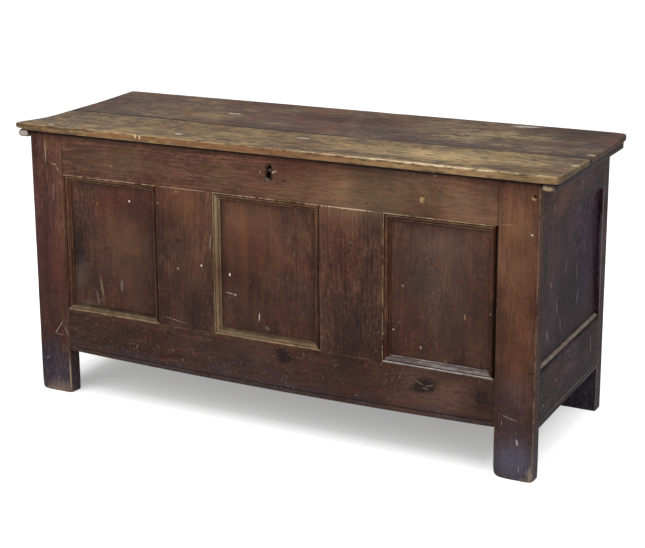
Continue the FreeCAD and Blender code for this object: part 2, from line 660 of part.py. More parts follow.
def make_leaf(centre, nails):
    """The leaf on the back of the rear rail, with a knuckle on each side of the strap's."""
    outer = HINGE_HALF_LENGTH
    inner = STRAP_KNUCKLE_LENGTH / 2 + KNUCKLE_PLAY
    plate = box(centre - outer, centre + outer, HALF_DEPTH, HALF_DEPTH + IRON_THICKNESS,
                HINGE_Z - LEAF_HEIGHT, HINGE_Z)
    leaf = joined([plate, hinge_round(KNUCKLE_RADIUS, centre, outer)])
    gap = box(centre - inner, centre + inner, HALF_DEPTH - KNUCKLE_PLAY, HINGE_Y + 2 * KNUCKLE_RADIUS,
              HINGE_Z - KNUCKLE_RADIUS - KNUCKLE_PLAY, CHEST_HEIGHT + KNUCKLE_RADIUS)
    bore = hinge_round(PIN_RADIUS + PIN_CLEARANCE, centre, outer)
    return leaf.cut([gap, bore] + [nail.hole() for nail in nails])


def make_pin(centre):
    """The hinge pin, with a hammered head at each end."""
    reach = HINGE_HALF_LENGTH + PIN_END_PLAY
    heads = []
    for sign in (-1, 1):
        start = Vector(centre + sign * reach, HINGE_Y, HINGE_Z)
        heads.append(Part.makeCylinder(PIN_HEAD_RADIUS, PIN_HEAD_LENGTH, start, Vector(sign, 0, 0)))
    return joined([hinge_round(PIN_RADIUS, centre, reach)] + heads)


def lid_section(y_low, y_high, x_low, x_high):
    """Part of the lid between two Y planes: flat below, with the hollow of a dished top."""
    top = CHEST_HEIGHT + LID_THICKNESS
    middle = (LID_FRONT + LID_REAR) / 2
    dish = Part.Arc(Vector(x_low, LID_FRONT, top), Vector(x_low, middle, top - LID_DISH),
                    Vector(x_low, LID_REAR, top)).toShape()
    below = Part.makePolygon([Vector(x_low, LID_REAR, top), Vector(x_low, LID_REAR, CHEST_HEIGHT),
                              Vector(x_low, LID_FRONT, CHEST_HEIGHT), Vector(x_low, LID_FRONT, top)])
    whole = Part.Face(Part.Wire([dish] + below.Edges)).extrude(Vector(x_high - x_low, 0, 0))
    return whole.common(box(x_low, x_high, y_low, y_high, CHEST_HEIGHT, top))


def rounded_long_edges(board, y_edge):
    """The board with its long edges at one Y plane rounded over."""
    edges = [edge for edge in board.Edges
             if abs(edge.BoundBox.YMin - y_edge) < LID_JOINT_GAP
             and abs(edge.BoundBox.YMax - y_edge) < LID_JOINT_GAP
             and edge.BoundBox.XLength > CHEST_WIDTH]
    return board.makeFillet(LID_EDGE_RADIUS, edges)


def make_cleat(sign, nails):
    """The batten under one end of the lid, outside the chest, with its lower edges rounded."""
    near = sign * (HALF_WIDTH + CLEAT_SIDE_CLEARANCE)
    far = near + sign * CLEAT_WIDTH
    low = CHEST_HEIGHT - CLEAT_HEIGHT
    cleat = box(min(near, far), max(near, far), CLEAT_FRONT, CLEAT_REAR, low, CHEST_HEIGHT)
    edges = [edge for edge in cleat.Edges
             if edge.BoundBox.ZMax < low + CLEAT_HEIGHT / 2 and edge.BoundBox.YLength > CHEST_DEPTH / 2]
    return cleat.makeFillet(CLEAT_EDGE_RADIUS, edges).cut([nail.hole() for nail in nails])


def lock_nails():
    """Nails through the lock plate's corners into the front top rail."""
    across = LOCK_CASE_WIDTH / 2 + LOCK_PLATE_MARGIN - LOCK_NAIL_INSET
    heights = (LOCK_CASE_BOTTOM, CHEST_HEIGHT - LOCK_PLATE_TOP_INSET - LOCK_NAIL_INSET)
    return [Nail(LOCK_CENTRE + sign * across, FRONT_RAIL_INSIDE + LOCK_WALL, height, Vector(0, -1, 0),
                 LOCK_NAIL_LENGTH)
            for sign in SIDES.values() for height in heights]


def hasp_nails():
    """Nails through the hasp's plate up into the front lid board."""
    last = HASP_Y + HASP_PLATE_BEHIND - HASP_NAIL_FROM_END
    return [Nail(LOCK_CENTRE, y, CHEST_HEIGHT, Vector(0, 0, 1), HASP_NAIL_LENGTH)
            for y in (last, last - HASP_NAIL_SPACING)]


def leaf_nails(centre):
    """Nails through a hinge leaf into the rear top rail."""
    middle = HINGE_Z - LEAF_NAIL_DROP - LEAF_NAIL_SPACING_Z / 2
    face = HALF_DEPTH + IRON_THICKNESS
    return [Nail(centre + across, face, middle + rise, Vector(0, -1, 0), LEAF_NAIL_LENGTH)
            for across in evenly(2, LEAF_NAIL_SPACING_X) for rise in evenly(2, LEAF_NAIL_SPACING_Z)]


def strap_nails(centre):
    """Nails through a hinge strap up into the lid."""
    first = HALF_DEPTH - STRAP_NAIL_FROM_REAR
    return [Nail(centre, first - number * STRAP_NAIL_SPACING, CHEST_HEIGHT - IRON_THICKNESS, Vector(0, 0, 1),
                 STRAP_NAIL_LENGTH)
            for number in range(STRAP_NAIL_COUNT)]


def cleat_nails(sign):
    """Nails through a cleat up into the lid boards."""
    across = sign * (HALF_WIDTH + CLEAT_SIDE_CLEARANCE + CLEAT_WIDTH / 2)
    rows = spread(CLEAT_NAIL_COUNT, CLEAT_FRONT + CLEAT_NAIL_FROM_END, CLEAT_REAR - CLEAT_NAIL_FROM_END)
    return [Nail(across, y, CHEST_HEIGHT - CLEAT_HEIGHT, Vector(0, 0, 1), CLEAT_NAIL_LENGTH) for y in rows]


def ledger_nails(inside, outward):
    """Nails through a ledger into the bottom rail behind it."""
    height = FOOT_HEIGHT + LEDGER_HEIGHT / 2
    face = inside - outward * LEDGER_WIDTH
    end = LEDGER_HALF_LENGTH - LEDGER_NAIL_FROM_END
    return [Nail(across, face, height, Vector(0, outward, 0), LEDGER_NAIL_LENGTH)
            for across in spread(LEDGER_NAIL_COUNT, -end, end)]


def floor_nails(board_centre, half_board):
    """Nails down through one floor board into both ledgers."""
    front = FRONT_RAIL_INSIDE + LEDGER_WIDTH / 2
    rear = REAR_RAIL_INSIDE - LEDGER_WIDTH / 2
    reach = half_board - FLOOR_NAIL_FROM_EDGE
    return [Nail(board_centre + offset, y, FLOOR_TOP, Vector(0, 0, -1), FLOOR_NAIL_LENGTH)
            for y in (front, rear) for offset in (-reach, reach)]


def make_floor(nails):
    """Boards that run from front to back on two ledgers, notched round the stiles."""
    pieces = {}
    half_length = HALF_WIDTH - SIDE_RAIL_THICKNESS - FLOOR_CLEARANCE
    pitch = 2 * half_length / FLOOR_BOARD_COUNT
    half_board = (pitch - FLOOR_BOARD_GAP) / 2
    stiles = [stile_block(x_side, y_side, FLOOR_CLEARANCE) for x_side in (-1, 1) for y_side in (-1, 1)]
    for number, centre in enumerate(evenly(FLOOR_BOARD_COUNT, pitch), start=1):
        board = box(centre - half_board, centre + half_board,
                    FRONT_RAIL_INSIDE + FLOOR_CLEARANCE, REAR_RAIL_INSIDE - FLOOR_CLEARANCE,
                    FLOOR_TOP - FLOOR_THICKNESS, FLOOR_TOP)
        nails[f"floor_{number}"] = floor_nails(centre, half_board)
        holes = [nail.hole() for nail in nails[f"floor_{number}"]]
        pieces[f"floor_board_{number}"] = board.cut(stiles + holes)
    floor_groups = [group for name, group in nails.items() if name.startswith("floor_")]
    floor_holes = [nail.hole() for group in floor_groups for nail in group]
    for name, inside, outward in (("front", FRONT_RAIL_INSIDE, -1), ("rear", REAR_RAIL_INSIDE, 1)):
        face = inside - outward * LEDGER_WIDTH
        ledger = box(-LEDGER_HALF_LENGTH, LEDGER_HALF_LENGTH, min(inside, face), max(inside, face),
                     FOOT_HEIGHT, FOOT_HEIGHT + LEDGER_HEIGHT)
        nails[f"ledger_{name}"] = ledger_nails(inside, outward)
        holes = [nail.hole() for nail in nails[f"ledger_{name}"]]
        pieces[f"ledger_{name}"] = ledger.cut(floor_holes + holes)
    return pieces


def make_hinges(nails):
    """Strap, leaf and pin of both hinges."""
    pieces = {}
    for name, sign in SIDES.items():
        centre = sign * HINGE_CENTRE
        nails[f"leaf_{name}"] = leaf_nails(centre)
        nails[f"strap_{name}"] = strap_nails(centre)
        pieces[f"hinge_strap_{name}"] = make_strap(centre, nails[f"strap_{name}"])
        pieces[f"hinge_leaf_{name}"] = make_leaf(centre, nails[f"leaf_{name}"])
        pieces[f"hinge_pin_{name}"] = make_pin(centre)
    return pieces


def make_lid(nails):
    """The two lid boards, their cleats and the hasp."""
    pieces = {}
    for name, sign in SIDES.items():
        nails[f"cleat_{name}"] = cleat_nails(sign)
        pieces[f"cleat_{name}"] = make_cleat(sign, nails[f"cleat_{name}"])
    nails["hasp"] = hasp_nails()
    pieces["lid_hasp"] = make_hasp(nails["hasp"])
    lid_groups = ("cleat_left", "cleat_right", "strap_left", "strap_right", "hasp")
    holes = [nail.hole() for name in lid_groups for nail in nails[name]]
    recess = hasp_plate(HASP_RECESS_CLEARANCE, HASP_PLATE_THICKNESS + HASP_RECESS_CLEARANCE)
    spans = {"front": (LID_FRONT, LID_JOINT - LID_JOINT_GAP / 2),
             "rear": (LID_JOINT + LID_JOINT_GAP / 2, LID_REAR)}
    for name, (y_low, y_high) in spans.items():
        board = lid_section(y_low, y_high, -LID_HALF_LENGTH, LID_HALF_LENGTH)
        board = rounded_long_edges(board, LID_FRONT if name == "front" else LID_REAR)
        pieces[f"lid_board_{name}"] = board.cut(holes + [recess])
    return pieces


def fit_ironwork(pieces, walls, nails):
    """The housings, recesses and nail holes that floor, hinges and lock need in the rails."""
    front, right, rear, left = walls
    lock_cuts = [case_block(LOCK_RECESS_CLEARANCE), keyhole(-HALF_DEPTH, LOCK_CASE_FRONT)]
    pieces["rail_front_top"] = pieces["rail_front_top"].cut(
        lock_cuts + [nail.hole() for nail in nails["lock"]])
    pieces["rail_front_bottom"] = shape_bottom_rail(pieces["rail_front_bottom"]).cut(
        [nail.hole() for nail in nails["ledger_front"]])
    pieces["rail_rear_bottom"] = pieces["rail_rear_bottom"].cut(
        [nail.hole() for nail in nails["ledger_rear"]])
    housings = []
    for name, sign in SIDES.items():
        thickness = IRON_THICKNESS + STRAP_HOUSING_FLOOR
        housing = strap_plan(sign * HINGE_CENTRE, STRAP_HOUSING_CLEARANCE, thickness, CHEST_HEIGHT)
        neck = box(sign * HINGE_CENTRE - STRAP_WIDTH / 2, sign * HINGE_CENTRE + STRAP_WIDTH / 2,
                   HALF_DEPTH - 2 * STRAP_REAR_SETBACK, HALF_DEPTH, CHEST_HEIGHT - thickness, CHEST_HEIGHT)
        housings += [housing, neck] + [nail.hole() for nail in nails[f"leaf_{name}"]]
    pieces["rail_rear_top"] = pieces["rail_rear_top"].cut(housings)
    for wall in (right, left):
        name = f"rail_{wall.name}_bottom"
        pieces[name] = shape_side_rail(pieces[name], wall)


def make_mouldings(front):
    """The sticks round each front panel. The right-hand frame has shrunk away from its stile."""
    pieces = {}
    for name, (left, right) in front.openings().items():
        if name == "right":
            right -= SHRINKAGE_GAP
        for side in ("left", "right", "bottom", "top"):
            pieces[f"moulding_{name}_{side}"] = front.moulding(left, right, side)
    return pieces


def make_fastenings(walls, nails):
    """All the pegs in one group, and the nails of the chest and of the lid in two more."""
    pegs = [wall.placed(peg) for wall in walls for peg in wall.pegs(PEG_RADIUS, PEG_PROUD, 0.0)]
    groups = {"nails_chest": [], "nails_lid": []}
    for name, group in nails.items():
        in_lid = name.startswith(("cleat", "strap", "hasp"))
        groups["nails_lid" if in_lid else "nails_chest"] += [nail.solid() for nail in group]
    pieces = {name: Part.makeCompound(solids) for name, solids in groups.items()}
    pieces["pegs"] = Part.makeCompound(pegs)
    return pieces


def make_chest():
    """Every piece of the chest, by name, where it lies with the lid closed."""
    walls = make_walls()
    nails = {"lock": lock_nails()}
    pieces = make_frames(walls)
    pieces.update(make_mouldings(walls[0]))
    pieces.update(make_floor(nails))
    pieces.update(make_hinges(nails))
    pieces.update(make_lid(nails))
    pieces["lock_case"] = make_lock_case()
    pieces["lock_plate"] = make_lock_plate(nails["lock"])
    pieces["lock_bolt"] = make_lock_bolt()
    fit_ironwork(pieces, walls, nails)
    pieces.update(make_fastenings(walls, nails))
    return pieces


def write_parts(pieces):
    """One STEP file for each piece, with the origin midway between the lid's front and the hinges."""
    os.makedirs("parts", exist_ok=True)
    for name, shape in pieces.items():
        shape.translate(Vector(0, -ORIGIN_Y, 0))
        shape.exportStep(f"parts/{name}.step")
        print(name, len(shape.Solids), round(shape.Volume), shape.isValid())


write_parts(make_chest())
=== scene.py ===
import math
from dataclasses import dataclass

import bmesh
import bpy
import numpy as np
from bpy.props import FloatProperty, FloatVectorProperty, PointerProperty
from mathutils import Matrix, Vector, noise


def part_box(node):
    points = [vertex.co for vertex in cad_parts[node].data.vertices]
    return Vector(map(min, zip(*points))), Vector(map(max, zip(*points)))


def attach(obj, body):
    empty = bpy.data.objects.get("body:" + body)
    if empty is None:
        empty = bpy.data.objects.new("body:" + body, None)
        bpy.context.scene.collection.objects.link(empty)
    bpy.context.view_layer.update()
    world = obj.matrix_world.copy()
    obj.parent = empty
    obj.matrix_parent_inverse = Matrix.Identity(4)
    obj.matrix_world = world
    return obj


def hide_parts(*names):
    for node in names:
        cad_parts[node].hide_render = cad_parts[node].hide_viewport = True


bl_info = {
    "name": "Joined Oak Chest",
    "version": (1, 0, 0),
    "blender": (4, 5, 0),
    "location": "3D View > Sidebar > Oak Chest",
    "description": "Dresses a joined oak chest: worn boards, mouldings, pegs and forged iron",
    "category": "Object",
}

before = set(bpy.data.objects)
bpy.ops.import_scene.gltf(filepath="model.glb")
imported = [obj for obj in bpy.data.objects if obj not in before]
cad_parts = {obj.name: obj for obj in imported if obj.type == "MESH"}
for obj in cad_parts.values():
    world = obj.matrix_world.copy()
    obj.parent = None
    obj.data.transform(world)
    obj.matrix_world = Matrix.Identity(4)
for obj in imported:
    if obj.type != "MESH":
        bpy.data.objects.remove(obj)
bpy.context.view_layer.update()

MM = 0.001
CHEST_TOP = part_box("rail_front_top")[1][2]


def linear(colour):
    """An sRGB hex colour as linear red, green and blue."""
    channels = [int(colour[start:start + 2], 16) / 255 for start in (1, 3, 5)]
    return tuple(c / 12.92 if c <= 0.04045 else ((c + 0.055) / 1.055) ** 2.4 for c in channels)


# ---------------------------------------------------------------------------
# What a user can change
# ---------------------------------------------------------------------------

def length(name, description, millimetres):
    """A size in the sidebar."""
    return FloatProperty(name=name, description=description, default=millimetres * MM,
                         min=0.0, soft_max=10 * millimetres * MM, precision=5, unit="LENGTH")


def colour(name, description, value):
    """A colour in the sidebar."""
    return FloatVectorProperty(name=name, description=description, default=linear(value),
                               min=0.0, max=1.0, size=3, subtype="COLOR")


class OakChestSizes(bpy.types.PropertyGroup):
    """Sizes of the wear and the hand work on the boards."""

    mesh_step: length("Mesh step", "Distance between mesh lines on a board", 9.0)
    joint_edge: length("Joint edges", "Radius of the edges where two boards meet", 0.8)
    frame_edge: length("Frame edges", "Radius that handling has worn on the open edges of the frame", 2.0)
    foot_edge: length("Foot edges", "Radius worn round the bottom of each foot", 3.2)
    lid_edge: length("Lid edges", "Radius worn round the edge of the lid", 2.0)
    lid_joint_edge: length("Lid joint edges", "Radius of the edges along the joint in the lid", 2.4)
    cleat_edge: length("Cleat edges", "Radius worn on the battens under the lid", 4.0)
    plane_hollow: length("Plane hollows", "Depth of the hollows that a hand plane leaves", 0.45)
    lid_hollow: length("Lid hollow", "How far the middle of the lid has sunk", 6.0)
    lid_joint_wander: length("Lid joint wander", "How far the joint in the lid strays from a line", 9.0)
    scratch_depth: length("Scratched line", "Depth of the line scratched along the bottom rail", 1.5)
    peg_taper: length("Peg taper", "How far a riven peg strays from round", 0.6)


class OakChestColours(bpy.types.PropertyGroup):
    """Colours of the oak, the dirt and painted shade on it, and the iron."""

    front_deep: colour("Front, deep", "Latewood and old polish in the front frame", "#2e1d19")
    front_body: colour("Front, body", "Main colour of the front frame", "#51362b")
    front_bright: colour("Front, bright", "Rubbed places in the front frame", "#724d3b")
    panel_deep: colour("Panels, deep", "Latewood in the front panels", "#2c1d19")
    panel_body: colour("Panels, body", "Main colour of the front panels", "#4b3128")
    panel_bright: colour("Panels, bright", "Rays and rubbed places in the front panels", "#694735")
    lid_deep: colour("Lid, deep", "Dark streaks in the front lid board", "#3c3028")
    lid_body: colour("Lid, body", "Main colour of the front lid board", "#67543c")
    lid_bright: colour("Lid, bright", "Bare, rubbed oak on the front lid board", "#957c54")
    rear_lid_deep: colour("Rear of lid, deep", "Dark streaks in the rear lid board", "#302726")
    rear_lid_body: colour("Rear of lid, body", "Main colour of the rear lid board", "#4d3b2d")
    rear_lid_bright: colour("Rear of lid, bright", "Rubbed oak on the rear lid board", "#745e47")
    # The ends are darker partly as painted shade, since the lamps light them less than the front.
    side_deep: colour("Ends, deep", "Latewood in the end walls", "#0f080b")
    side_body: colour("Ends, body", "Main colour of the end walls", "#2a1a22")
    side_bright: colour("Ends, bright", "Rubbed places in the end walls", "#56424a")
    back_body: colour("Back and inside", "Oak that was never polished", "#5d4838")
    worn: colour("Worn edge", "Bare oak where an edge has worn", "#ad9474")
    scuff: colour("Scuffs", "Dust and scratches in the wax", "#93816f")
    # Dirt also darkens the chest downwards, partly as painted shade.
    dirt_and_shade: colour("Dirt", "Old smoke and dirty wax on the faces", "#1d1413")
    # Soot also stands for painted shade under the lid, beside the mouldings and in the quirks, gaps and
    # keyhole.
    soot_and_shade: colour("Soot", "What has packed into the joints and the quirks", "#0b0706")
    foot: colour("Feet", "Damp-stained oak near the floor", "#2b2329")
    foot_bloom: colour("Feet, bloom", "Grey bloom on the damp-stained oak", "#4b464d")
    iron: colour("Iron", "Forged iron under its old oxide", "#3a3532")
    rust: colour("Rust", "Rust on the iron", "#5c3521")


# ---------------------------------------------------------------------------
# Meshes
# ---------------------------------------------------------------------------

def spaced(low, high, step, edge, extra):
    """Places for mesh lines between two ends, close together near each end so that worn edges stay round."""
    near = np.array([0.0, 0.3, 0.65, 1.0, 2.1, 4.5]) * edge
    # A thin board has no room for the outer ones.
    near = near[near < 0.45 * (high - low)]
    first, last = low + near[-1], high - near[-1]
    count = max(1, round((last - first) / step))
    places = np.concatenate([low + near, np.linspace(first, last, count + 1), high - near, list(extra)])
    return np.unique(np.round(places, 6))


def skin(xs, ys, zs):
    """The outer skin of a block of mesh lines, as points and four-sided faces."""
    counts = (len(xs), len(ys), len(zs))
    i, j, k = np.indices(counts)
    outer = (i % (counts[0] - 1) == 0) | (j % (counts[1] - 1) == 0) | (k % (counts[2] - 1) == 0)
    numbers = np.full(counts, -1)
    numbers[outer] = np.arange(outer.sum())
    points = np.stack([xs[i[outer]], ys[j[outer]], zs[k[outer]]], axis=1)
    faces = []
    for axis in range(3):
        for end in (0, -1):
            sheet = np.take(numbers, end, axis=axis)
            corners = [sheet[:-1, :-1], sheet[1:, :-1], sheet[1:, 1:], sheet[:-1, 1:]]
            if (end == 0) != (axis == 1):
                corners.reverse()
            faces.append(np.stack(corners, axis=-1).reshape(-1, 4))
    return points, np.concatenate(faces)


def unevenness(points, size, seed):
    """Smooth noise from -1 to 1 whose humps are about that size, one value for each point."""
    shift = Vector((17.3, -9.1, 5.7)) * seed
    return np.array([noise.noise(Vector(point) / size + shift) for point in points])


def rounded(points, low, high, radius):
    """The points of a block drawn in to edges of the given radii, and the way out at each point."""
    radius = radius[:, None]
    core = np.clip(points, low + radius, high - radius)
    out = points - core
    out /= np.maximum(np.linalg.norm(out, axis=1, keepdims=True), 1e-9)
    return core + out * radius, out


def grain_lines(points, centre, along, seed, pith, tilt, knots=()):
    """Where each point lies in its board's tree: along the trunk, and across it both ways from the pith."""
    others = [axis for axis in range(3) if axis != along]
    across, through = sorted(others, key=lambda axis: -np.ptp(points[:, axis]))
    local = points - centre
    length_way = local[:, along].copy()
    across_way = local[:, across].copy()
    # The grain swells round a knot: over three times its size along the board, and twice across it.
    for place, offset, size in knots:
        run, rise = length_way - place * MM, across_way - offset * MM
        near = np.exp(-(run / (3.2 * size * MM)) ** 2 - (rise / (1.9 * size * MM)) ** 2)
        across_way = across_way - rise * near * 0.85
    through_way = local[:, through] + tilt * length_way
    from_pith = (length_way + 3.7 * seed, across_way + pith[0] * MM, through_way + pith[1] * MM)
    return np.stack(from_pith, axis=1)


def edge_nearness(points, low, high, reach):
    """From 1 on an edge of a block to 0 away from it."""
    gaps = np.sort(np.minimum(points - low, high - points), axis=1)
    return np.exp(-np.maximum(gaps[:, 1], 0.0) / reach)


def set_layer(mesh, name, kind, values):
    """Stores one value or vector a point on a mesh, for its material to read."""
    layer = mesh.attributes.get(name) or mesh.attributes.new(name, kind, "POINT")
    layer.data.foreach_set("vector" if kind == "FLOAT_VECTOR" else "value",
                           np.asarray(values, np.float32).ravel())


def link_piece(name, mesh, material, body, nodes):
    """Puts a finished mesh in the scene, on its body and in place of its plain nodes."""
    piece = bpy.data.objects.new(name, mesh)
    bpy.context.scene.collection.objects.link(piece)
    mesh.materials.clear()
    mesh.materials.append(material)
    mesh.polygons.foreach_set("use_smooth", [True] * len(mesh.polygons))
    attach(piece, body)
    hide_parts(*nodes)
    return piece


def new_mesh(name, points, faces):
    """A mesh from arrays of points and faces."""
    mesh = bpy.data.meshes.new(name)
    mesh.from_pydata(np.asarray(points, float).tolist(), [], [list(map(int, face)) for face in faces])
    mesh.validate()
    mesh.update()
    return mesh


def shadow_under_lid(points):
    """Painted shadow just below the overhang of the lid: a dark band in the colour. It is weaker on the rim.
    """
    depth = np.maximum(CHEST_TOP + 0.5 * MM - points[:, 2], 0)
    rim = np.clip((points[:, 2] - CHEST_TOP + 1.0 * MM) / (0.6 * MM), 0, 1)
    return np.clip(2.2 * np.exp(-depth / (5.5 * MM)) - 0.05, 0, 0.97) * (1 - 0.6 * rim)


def shoulder_dirt_and_lid_shadow(points, low, high, axis):
    """Dirt in the joints at both ends of a rail or muntin, and the painted shadow below the lid."""
    ends = np.minimum(points[:, axis] - low[axis], high[axis] - points[:, axis])
    return np.maximum(0.9 * np.exp(-np.maximum(ends, 0) / (1.8 * MM)), shadow_under_lid(points))


class Board:
    """One board: its corners, the way its grain runs, how worn it is, and what is cut into it."""

    def __init__(self, node, low, high, along, seed, edge, pith, tilt, knots=()):
        self.node = node
        self.low = np.array(low, float)
        self.high = np.array(high, float)
        self.along = along
        self.seed = seed
        self.edge = edge
        self.pith = pith
        self.tilt = tilt
        self.knots = knots
        # Knocked corners: place, reach and radius in millimetres.
        self.knocks = []
        # For each axis, the radius that the close mesh lines at its ends suit, and further lines of its own.
        self.edges = [edge, edge, edge]
        self.extra = [(), (), ()]
        # Functions of the points, for a board that has its own: the worn radius, the shape, and the dirt and
        # painted shade.
        self.open_edge = None
        self.shape = None
        self.grime_and_shade = None
        self.hollow = bpy.context.scene.oak_chest_sizes.plane_hollow

    def radii(self, points):
        """The radius worn on the edges, point by point."""
        base = self.edge if self.open_edge is None else self.open_edge(points)
        # Wear comes in dips of about 35 mm and nicks of about 9 mm.
        worn = base * (1.0 + 0.35 * unevenness(points, 0.035, self.seed)
                       + 0.25 * unevenness(points, 0.009, self.seed + 5))
        for place, reach, radius in self.knocks:
            away = np.linalg.norm(points - np.array(place) * MM, axis=1)
            worn = worn + radius * MM * np.exp(-(away / (reach * MM)) ** 2)
        most = 0.47 * (self.high - self.low).min()
        return np.clip(worn, 0.0003, most)

    def mesh(self, step=None):
        """The board as a mesh with its grain, worn edges, and dirt and painted shade stored on its points."""
        step = step or bpy.context.scene.oak_chest_sizes.mesh_step
        lines = [spaced(self.low[axis], self.high[axis], step, self.edges[axis], self.extra[axis])
                 for axis in range(3)]
        flat, faces = skin(*lines)
        points, out = rounded(flat, self.low, self.high, self.radii(flat))
        # A hand plane leaves hollows about 110 mm across.
        dip = self.hollow * (0.5 + 0.5 * unevenness(flat, 0.11, self.seed + 9))
        points = points - out * dip[:, None]
        if self.shape is not None:
            points = self.shape(points)
        mesh = new_mesh(self.node + "_oak", points, faces)
        self.store(mesh, points, flat)
        return mesh

    def store(self, mesh, points, flat):
        """Stores what the oak's material reads."""
        centre = (self.low + self.high) / 2
        set_layer(mesh, "grain", "FLOAT_VECTOR",
                  grain_lines(points, centre, self.along, self.seed, self.pith, self.tilt, self.knots))
        worn = bpy.context.scene.oak_chest_sizes.frame_edge
        weight = np.clip(self.radii(flat) / worn, 0.45, 1.0)
        set_layer(mesh, "arris", "FLOAT", weight * edge_nearness(flat, self.low, self.high, 2.0 * MM))
        grime_and_shade = shadow_under_lid(points) if self.grime_and_shade is None else self.grime_and_shade(points)
        set_layer(mesh, "grime_and_shade", "FLOAT", grime_and_shade)


def loose_object(name, mesh):
    """An object for a mesh that is used in a cut."""
    piece = bpy.data.objects.new(name, mesh)
    bpy.context.scene.collection.objects.link(piece)
    return piece


def cut_away(mesh, cutters):
    """The mesh with the cutters' shapes taken out of it."""
    piece = loose_object("board_being_cut", mesh)
    tools = [loose_object(f"cutter_{number}", cutter) for number, cutter in enumerate(cutters)]
    for tool in tools:
        modifier = piece.modifiers.new("cut", "BOOLEAN")
        modifier.operation = "DIFFERENCE"
        modifier.solver = "EXACT"
        modifier.object = tool
    graph = bpy.context.evaluated_depsgraph_get()
    result = bpy.data.meshes.new_from_object(piece.evaluated_get(graph))
    for used in (*tools, piece):
        bpy.data.objects.remove(used)
    return result


def block(low, high):
    """A plain cutter between two corners."""
    points, faces = skin(*[np.array([low[axis], high[axis]]) for axis in range(3)])
    return new_mesh("cutter", points, faces)


def face_outwards(mesh):
    """Turns every face of a closed mesh outwards."""
    shell = bmesh.new()
    shell.from_mesh(mesh)
    bmesh.ops.recalc_face_normals(shell, faces=shell.faces)
    shell.to_mesh(mesh)
    shell.free()


def tube_faces(first, rings, sides):
    """The faces of a closed tube whose points are listed ring by ring, from the given number on."""
    faces = []
    for ring in range(rings - 1):
        start = first + ring * sides
        for number in range(sides):
            one, two = start + number, start + (number + 1) % sides
            faces.append([one, two, two + sides, one + sides])
    near_end = list(range(first, first + sides))[::-1]
    far_end = list(range(first + (rings - 1) * sides, first + rings * sides))
    return faces + [near_end, far_end]


def prism_y(outline, y_low, y_high):
    """A cutter whose outline is given in X and Z."""
    points = [(x, y, z) for y in (y_low, y_high) for x, z in outline]
    mesh = new_mesh("cutter", points, tube_faces(0, 2, len(outline)))
    face_outwards(mesh)
    return mesh


# ---------------------------------------------------------------------------
# Materials
# ---------------------------------------------------------------------------

def add(tree, kind, inputs=(), output=0, **settings):
    """Adds a node with its settings, sets or links its inputs, and gives the output that is wanted."""
    node = tree.nodes.new("ShaderNode" + kind)
    for name, value in settings.items():
        setattr(node, name, value)
    for name, value in dict(inputs).items():
        if isinstance(value, bpy.types.NodeSocket):
            tree.links.new(value, node.inputs[name])
        else:
            node.inputs[name].default_value = value
    return node.outputs[output] if len(node.outputs) else None


def blank(name):
    """A new material with an empty tree."""
    material = bpy.data.materials.new(name)
    material.use_nodes = True
    material.node_tree.nodes.clear()
    return material


def opaque(value):
    """A colour with full alpha."""
    return (*value, 1.0)


@dataclass
class Oak:
    """How one oak surface looks: its colours and how strongly its figure, wear and dirt show."""

    deep: tuple
    body: tuple
    bright: tuple
    contrast: float = 1.0       # how far the figure spreads from the body colour to the other two
    ring: float = 7.0           # width of one year ring in millimetres, as it is drawn
    rings: float = 0.02         # share of the year rings in the figure
    wide: float = 1.0           # how much coarser than usual the figure is
    flake: float = 0.0          # how strongly the rays show
    hair: float = 2.4           # width of one fibre in millimetres, as it is drawn
    hairs: float = 0.34         # how strongly the fibres show
    pores: float = 0.3          # how strongly the open pores show
    stain: str = "#43190f"      # what the polish has gone in clouds
    tone: float = 0.4           # how strongly the clouds in the polish show
    smoke_and_shade: float = 0.60         # how far smoke and painted shade darken it towards the floor
    footed: bool = True         # whether it reaches low enough for the smoke, painted shade and damp
    worn: float = 0.75          # how bare the rubbed edges are at most
    steady: float = 0.0         # how bare they are at least
    bare: tuple = None          # their colour, where it isn't that of the worn edges
    scuffs: float = 0.5         # how strongly the dust and the scratches show
    gloss: float = 0.5          # how smooth the wax is
    sheen: float = 0.06         # how much light it mirrors
    relief: float = 1.0         # depth of the grain against the usual 0.6 mm
    facing: int = 1             # the axis along which most of its faces look
    patches: tuple = ()
    ragged: float = 1.2         # how ragged the edges of its patches are


def about(facing, degrees):
    """A turn in the plane of a face, for a face that looks along the given axis."""
    angles = [0.0, 0.0, 0.0]
    angles[facing] = math.radians(degrees)
    return angles


def laid_patches(tree, surface, place, ragged, patches, facing):
    """Lays each tint, stain and scuff, and each patch of painted shade, at its place on the surface, with a
    ragged edge.
    """
    for hex_colour, strength, soft, centre, reach, turn in patches:
        local = add(tree, "Mapping", {"Vector": place, "Location": Vector(centre) * MM,
                                      "Rotation": about(facing, turn), "Scale": Vector(reach) * MM},
                    vector_type="TEXTURE")
        away = add(tree, "VectorMath", {0: local}, "Value", operation="LENGTH")
        rough = add(tree, "Math", {0: away, 1: ragged}, operation="ADD")
        mask = add(tree, "MapRange", {"Value": rough, "From Min": 1.0 - soft, "From Max": 1.0,
                                      "To Min": strength, "To Max": 0.0}, interpolation_type="SMOOTHSTEP")
        surface = add(tree, "Mix", {"Factor": mask, 6: surface, 7: opaque(linear(hex_colour))}, 2,
                      data_type="RGBA")
    return surface


